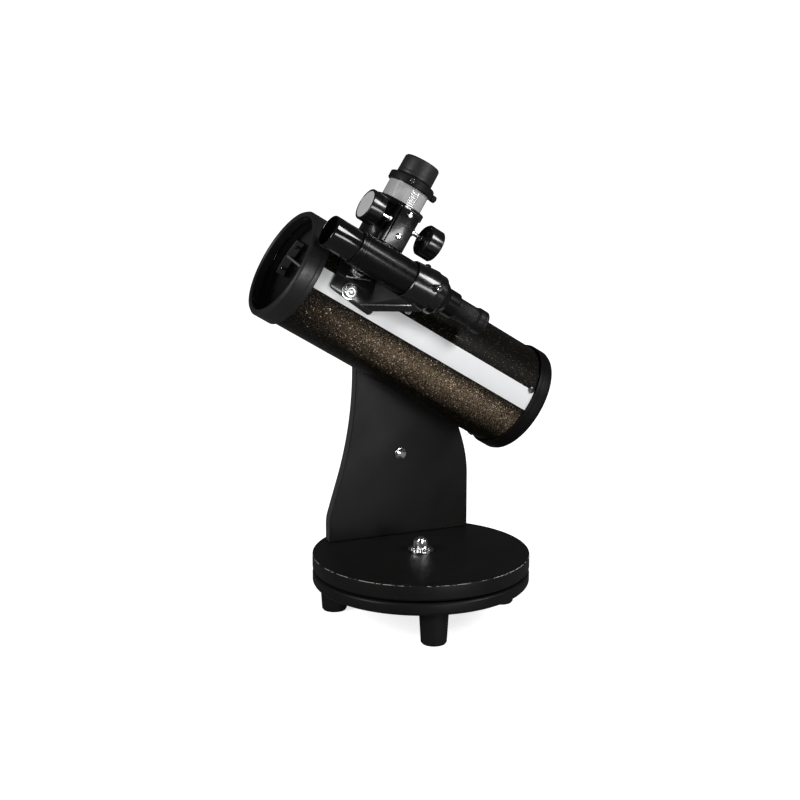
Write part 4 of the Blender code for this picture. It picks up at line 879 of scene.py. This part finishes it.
def build_bracket(m):
    body = "tube_assembly"
    plate = wrapped(54, 91, -129.0, -82.0, SADDLE_INNER, SADDLE_OUTER, 4.0, 0.5, 5.0)
    piece("bracket_foot", plate, TUBE, m["housing"], body, "finder_bracket")

    def round_tube(angle, radius):
        turn = math.radians(angle)
        return -radius * math.sin(turn), radius * math.cos(turn)

    near, far = round_tube(90.0, 51.8), round_tube(60.0, 51.8)
    for name, root, touch, span, reach in (
        ("near", near, (-70.0, 21.4), (-96.0, -82.5), (-60.0, -47.0)),
        ("far", far, (-48.0, 29.6), (-119.0, -82.5), (-72.5, -49.0)),
    ):
        across = Vector((0.0, touch[0] - root[0], touch[1] - root[1]))
        side = across.cross(Vector((1, 0, 0))).normalized() * 0.9
        points = []
        for x, (y, z) in ((span[0], root), (span[1], root), (reach[0], touch), (reach[1], touch)):
            points += [Vector((x, y, z)) + side, Vector((x, y, z)) - side]
        piece(f"bracket_rib_{name}", hull(points, 0.3), TUBE, m["matt_metal"], body)
    # Steel strips laid along the cut edges of the bracket's sheet: painted highlights standing for the
    # bright edge lines.
    for name, start, end in (
        ("near", (-96.0, *round_tube(90.5, 53.6)), (-60.3, -70.6, 20.2)),
        ("far", (-119.0, *round_tube(74.0, 53.9)), (-96.0, *round_tube(65.0, 53.9))),
    ):
        start, end = Vector(start), Vector(end)
        lift = Vector((0, start.y, start.z)).normalized() * 0.55
        across = (end - start).cross(lift).normalized() * 0.55
        corners = [p + a + b for p in (start, end) for a in (lift, -lift) for b in (across, -across)]
        piece(f"bracket_highlight_strip_{name}", hull(corners, 0.2), TUBE, m["steel"], body)
    web = []
    for x in (-92.0, -84.0):
        web += [(x, *round_tube(88.0, 52.0)), (x, *round_tube(61.0, 52.0))]
    for x in (-71.5, -47.0):
        web += [(x, -70.0, 21.8), (x, -52.0, 26.0)]
    piece("bracket_web", hull(web, 0.6), TUBE, m["matt_metal"], body)
    sleeve = [
        (17.0, -73.5), (17.7, -72.9), (18.6, -62.0), (19.6, -52.2), (19.6, -50.4), (18.9, -48.8),
        (18.7, -41.8),
    ]
    sleeve += [(18.2, -41.0), (17.3, -41.0), (16.6, -73.5)]
    piece("bracket_sleeve", lathe(sleeve, 144, True, 0.5), FINDER, m["housing"], body)

    for i, angle in enumerate((-40.0, 80.0, 200.0)):
        at = TUBE @ Matrix.Translation((-54.0, FINDER_Y, FINDER_Z)) @ Matrix.Rotation(
            math.radians(angle), 4, "X",
        )
        boss = solid([(2.9, 20.6), (3.5, 20.0), (3.7, 17.8)], steps=48, edge=0.3)
        piece(f"sleeve_boss_{i + 1}", boss, at, m["housing"], body)
        head = [
            (1.7, 27.4), (2.9, 26.9), (3.1, 26.3), (3.1, 23.2), (2.5, 22.6),
            *thread(1.6, 16.3, 22.4, 0.7, 0.25),
        ]
        shape = solid(head, steps=80, edge=0.08, warp=ribs(20, 0.28, 23.0, 26.5))
        metal_of = m["satin"] if i == 0 else m["chrome"]
        name = f"adjusting_screw_{i + 1}"
        piece(f"finder_{name}", shape, at, metal_of, f"{name}_body", name)
    for i, angle in enumerate((62.5, 85.0)):
        at = radial(-110.5, angle)
        stud = [*thread(2.1, 53.4, 59.2, 0.7, 0.25), (2.1, 48.2), (4.4, 48.2), (4.4, 46.6)]
        piece(
            f"bracket_bolt_{i + 1}", solid(stud, steps=40, edge=0.05), at, m["steel"], body,
            f"bracket_stud_{i + 1}",
        )
        washer = lathe([(7.5, 53.4), (7.5, 54.3), (2.4, 54.3), (2.4, 53.4)], 96, True, 0.25)
        piece(f"bracket_washer_{i + 1}", washer, at, m["nut_chrome"], f"bracket_nut_{i + 1}_body")
        nut = [
            (4.0, 58.4), (5.4, 58.2), (6.3, 57.4), (6.3, 55.6), (5.2, 54.9), (5.0, 54.4),
            (2.3, 54.4), (2.3, 58.4),
        ]
        knurl = outside(5.5, ribs(30, 0.35, 55.4, 57.8))
        name = f"bracket_nut_{i + 1}"
        piece(
            f"bracket_thumb_nut_{i + 1}", lathe(nut, 180, True, 0.2, knurl), at, m["nut_chrome"],
            f"{name}_body", name,
        )
    at = radial(-86.0, 72.0)
    pan = solid([(0.9, 55.0), (1.9, 54.6), (2.2, 53.9), (2.1, 53.2)], steps=40, edge=0.15)
    piece("bracket_trim_screw", pan, at, m["chrome"], body)


def build_finder(m):
    shield = [
        (14.8, -132.0), (14.8, -157.6), (14.5, -158.8), (14.0, -159.4), (13.5, -159.0),
        (13.3, -157.0), (13.3, -132.0),
    ]
    piece(
        "finder_shield", lathe(shield, 144, True, 0.3), FINDER, m["gloss"], "finder_assembly",
        "finder_dew_shield",
    )
    tube = [
        (15.9, -131.7), (16.15, -131.3), (16.15, -129.4), (15.7, -129.0), (15.7, -127.4),
        (16.0, -127.0), (16.0, -125.0),
    ]
    tube += [
        (15.8, -124.6), (15.8, -39.6), (15.4, -37.6), (13.0, -33.8), (12.4, -33.0), (12.4, -23.0),
        (12.2, -21.4),
    ]
    tube += [
        (10.6, -21.0), (10.6, -36.0), (14.6, -39.0), (14.6, -124.0), (12.2, -128.0),
        (12.2, -138.0), (13.2, -138.0),
    ]
    tube += [(13.2, -131.7)]
    piece(
        "finder_body", lathe(tube, 144, True, 0.25), FINDER, m["tube_satin"], "finder_assembly",
        "finder_tube",
    )
    lens = []
    for i in range(9):
        r = 12.9 * i / 8
        lens.append((r, -138.8 - 1.2 * (r / 12.9) ** 2))
    lens += [(12.9 * i / 8, -142.6 + 1.3 * (i / 8) ** 2) for i in range(8, -1, -1)]
    piece(
        "finder_front_lens", lathe(lens, 96, False, 0.0), FINDER, m["lens"], "finder_assembly",
        "finder_objective",
    )
    eye = [
        (8.2, 11.4), (9.0, 12.0), (10.6, 12.0), (11.3, 11.0), (11.3, 8.8), (10.9, 8.4),
        (11.3, 8.0), (11.3, 3.0), (10.4, 1.2),
    ]
    eye += [(9.9, 0.0), (9.9, -31.0), (8.4, -31.0), (8.4, -4.0), (5.0, 3.0)]

    def grip(r, h, turn):
        if r > 9.7 and -17.0 < h < -1.5:
            r -= 0.3 * (0.5 + 0.5 * math.cos(36 * turn))
        return r, h

    eye = eye[:10] + [(9.9, -1.4), (9.9, -1.6), (9.9, -16.8), (9.9, -17.2)] + eye[10:]
    shape = lathe(eye, 216, True, 0.15, grip)
    piece("finder_eyecup", shape, FINDER, m["satin"], "finder_eyepiece_body", "finder_eyepiece")
    glass = [(0.0, 0.2), (6.4, -0.9), (6.6, -2.2), (0.0, -3.0)]
    piece("finder_eye_lens", lathe(glass, 64, False, 0.3), FINDER, m["lens"], "finder_eyepiece_body")


def dress_frame(m):
    """Better materials on the CAD nodes whose shape is already right."""
    for node, name in (
        ("glide_ring", "nylon"),
        ("altitude_washer", "nylon"),
        ("arm_screw_1", "steel"),
        ("arm_screw_2", "steel"),
        ("altitude_bolt", "chrome"),
        ("altitude_bearing", "satin"),
        ("spider_stalk", "flock"),
        ("secondary_holder", "matt_metal"),
        ("secondary_mirror", "mirror"),
        ("focus_rack", "steel"),
        ("pinion_shaft", "steel"),
    ):
        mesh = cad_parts[node].data
        mesh.materials.clear()
        mesh.materials.append(m[name])


# ---------------------------------------------------------------- studio


CAMERA_LENS = 67.6
CAMERA_X, CAMERA_Y, CAMERA_Z = -0.5562, -1.2635, 0.5046
CAMERA_DOWN = 12.09
CAMERA_TURN = -22.93
FLOOR_HALF = 12000
BACKDROP_LIGHT = 0.045
BACKDROP_WHITE = 1.3


def add_light(name, data, place, aim):
    light = bpy.data.objects.new(name, data)
    light.location = place
    light.rotation_euler = (Vector(aim) - Vector(place)).to_track_quat("-Z", "Y").to_euler()
    bpy.context.scene.collection.objects.link(light)


def softbox(name, place, aim, size, power):
    data = bpy.data.lights.new(name, "AREA")
    data.shape = "RECTANGLE"
    data.size, data.size_y = size
    data.energy = power
    add_light(name, data, place, aim)


def build_camera():
    data = bpy.data.cameras.new("camera")
    data.lens = CAMERA_LENS
    data.sensor_width = 36.0
    data.clip_end = 60.0
    camera = bpy.data.objects.new("camera", data)
    camera.location = (CAMERA_X + AXIS_X * MM, CAMERA_Y, CAMERA_Z)
    camera.rotation_euler = (math.radians(90 - CAMERA_DOWN), 0.0, math.radians(CAMERA_TURN))
    bpy.context.scene.collection.objects.link(camera)
    bpy.context.scene.camera = camera


def build_floor():
    """A pale floor. It glows for the camera's own rays, and throws little light at the telescope."""
    shape = bmesh.new()
    bmesh.ops.create_grid(shape, x_segments=2, y_segments=2, size=FLOOR_HALF)
    mesh = mesh_of("floor", shape, Matrix.Identity(4))
    floor = bpy.data.objects.new("floor", mesh)
    bpy.context.scene.collection.objects.link(floor)
    s = Surface("pale_floor", "floor", Specular_IOR_Level=0.0)
    pale = s.mix(s.noise(3.0, 3.0), (0.93, 0.93, 0.93), (0.95, 0.95, 0.95))
    rays = s.tree.nodes.new("ShaderNodeLightPath").outputs["Is Camera Ray"]
    s.set("Base Color", s.mix(rays, (0.22, 0.22, 0.22), pale))
    x, y = s.parts(s.stretch((1, 1, 1), WORLD))[:2]
    away = s.from_axis(x, y)
    s.shader.inputs["Emission Color"].default_value = (1, 1, 1, 1)
    s.set("Emission Strength", s.math("MULTIPLY", rays, s.ramp(away, 0.15, 1.1, 0.78, 1.05)))
    mesh.materials.append(s.material)


def build_world():
    """A white backdrop that only the camera sees at full strength."""
    world = bpy.data.worlds.new("studio")
    bpy.context.scene.world = world
    world.use_nodes = True
    tree = world.node_tree
    back = tree.nodes["Background"]
    rays = tree.nodes.new("ShaderNodeLightPath")
    strength = tree.nodes.new("ShaderNodeMapRange")
    strength.inputs["To Min"].default_value = BACKDROP_LIGHT
    strength.inputs["To Max"].default_value = BACKDROP_WHITE
    tree.links.new(rays.outputs["Is Camera Ray"], strength.inputs["Value"])
    tree.links.new(strength.outputs["Result"], back.inputs["Strength"])
    back.inputs["Color"].default_value = (1, 1, 1, 1)


def build_studio():
    build_camera()
    build_floor()
    build_world()
    softbox("key", (1.2, -1.27, 1.25), (0.0, 0.0, 0.3), (0.6, 0.6), 24)
    softbox("low_front", (0.25, -1.6, 0.1), (0.05, 0.0, 0.24), (0.9, 0.3), 11)
    softbox("left", (-1.7, -0.3, 0.95), (0.0, 0.0, 0.33), (0.7, 0.7), 24)
    bpy.context.scene.view_settings.view_transform = "Standard"
    bpy.context.scene.cycles.max_bounces = 8


MATERIALS = build_materials()
build_base(MATERIALS)
build_arm(MATERIALS)
build_tube(MATERIALS)
build_housing(MATERIALS)
build_drawtube(MATERIALS)
build_pinion(MATERIALS)
build_bracket(MATERIALS)
build_finder(MATERIALS)
dress_frame(MATERIALS)
build_studio()
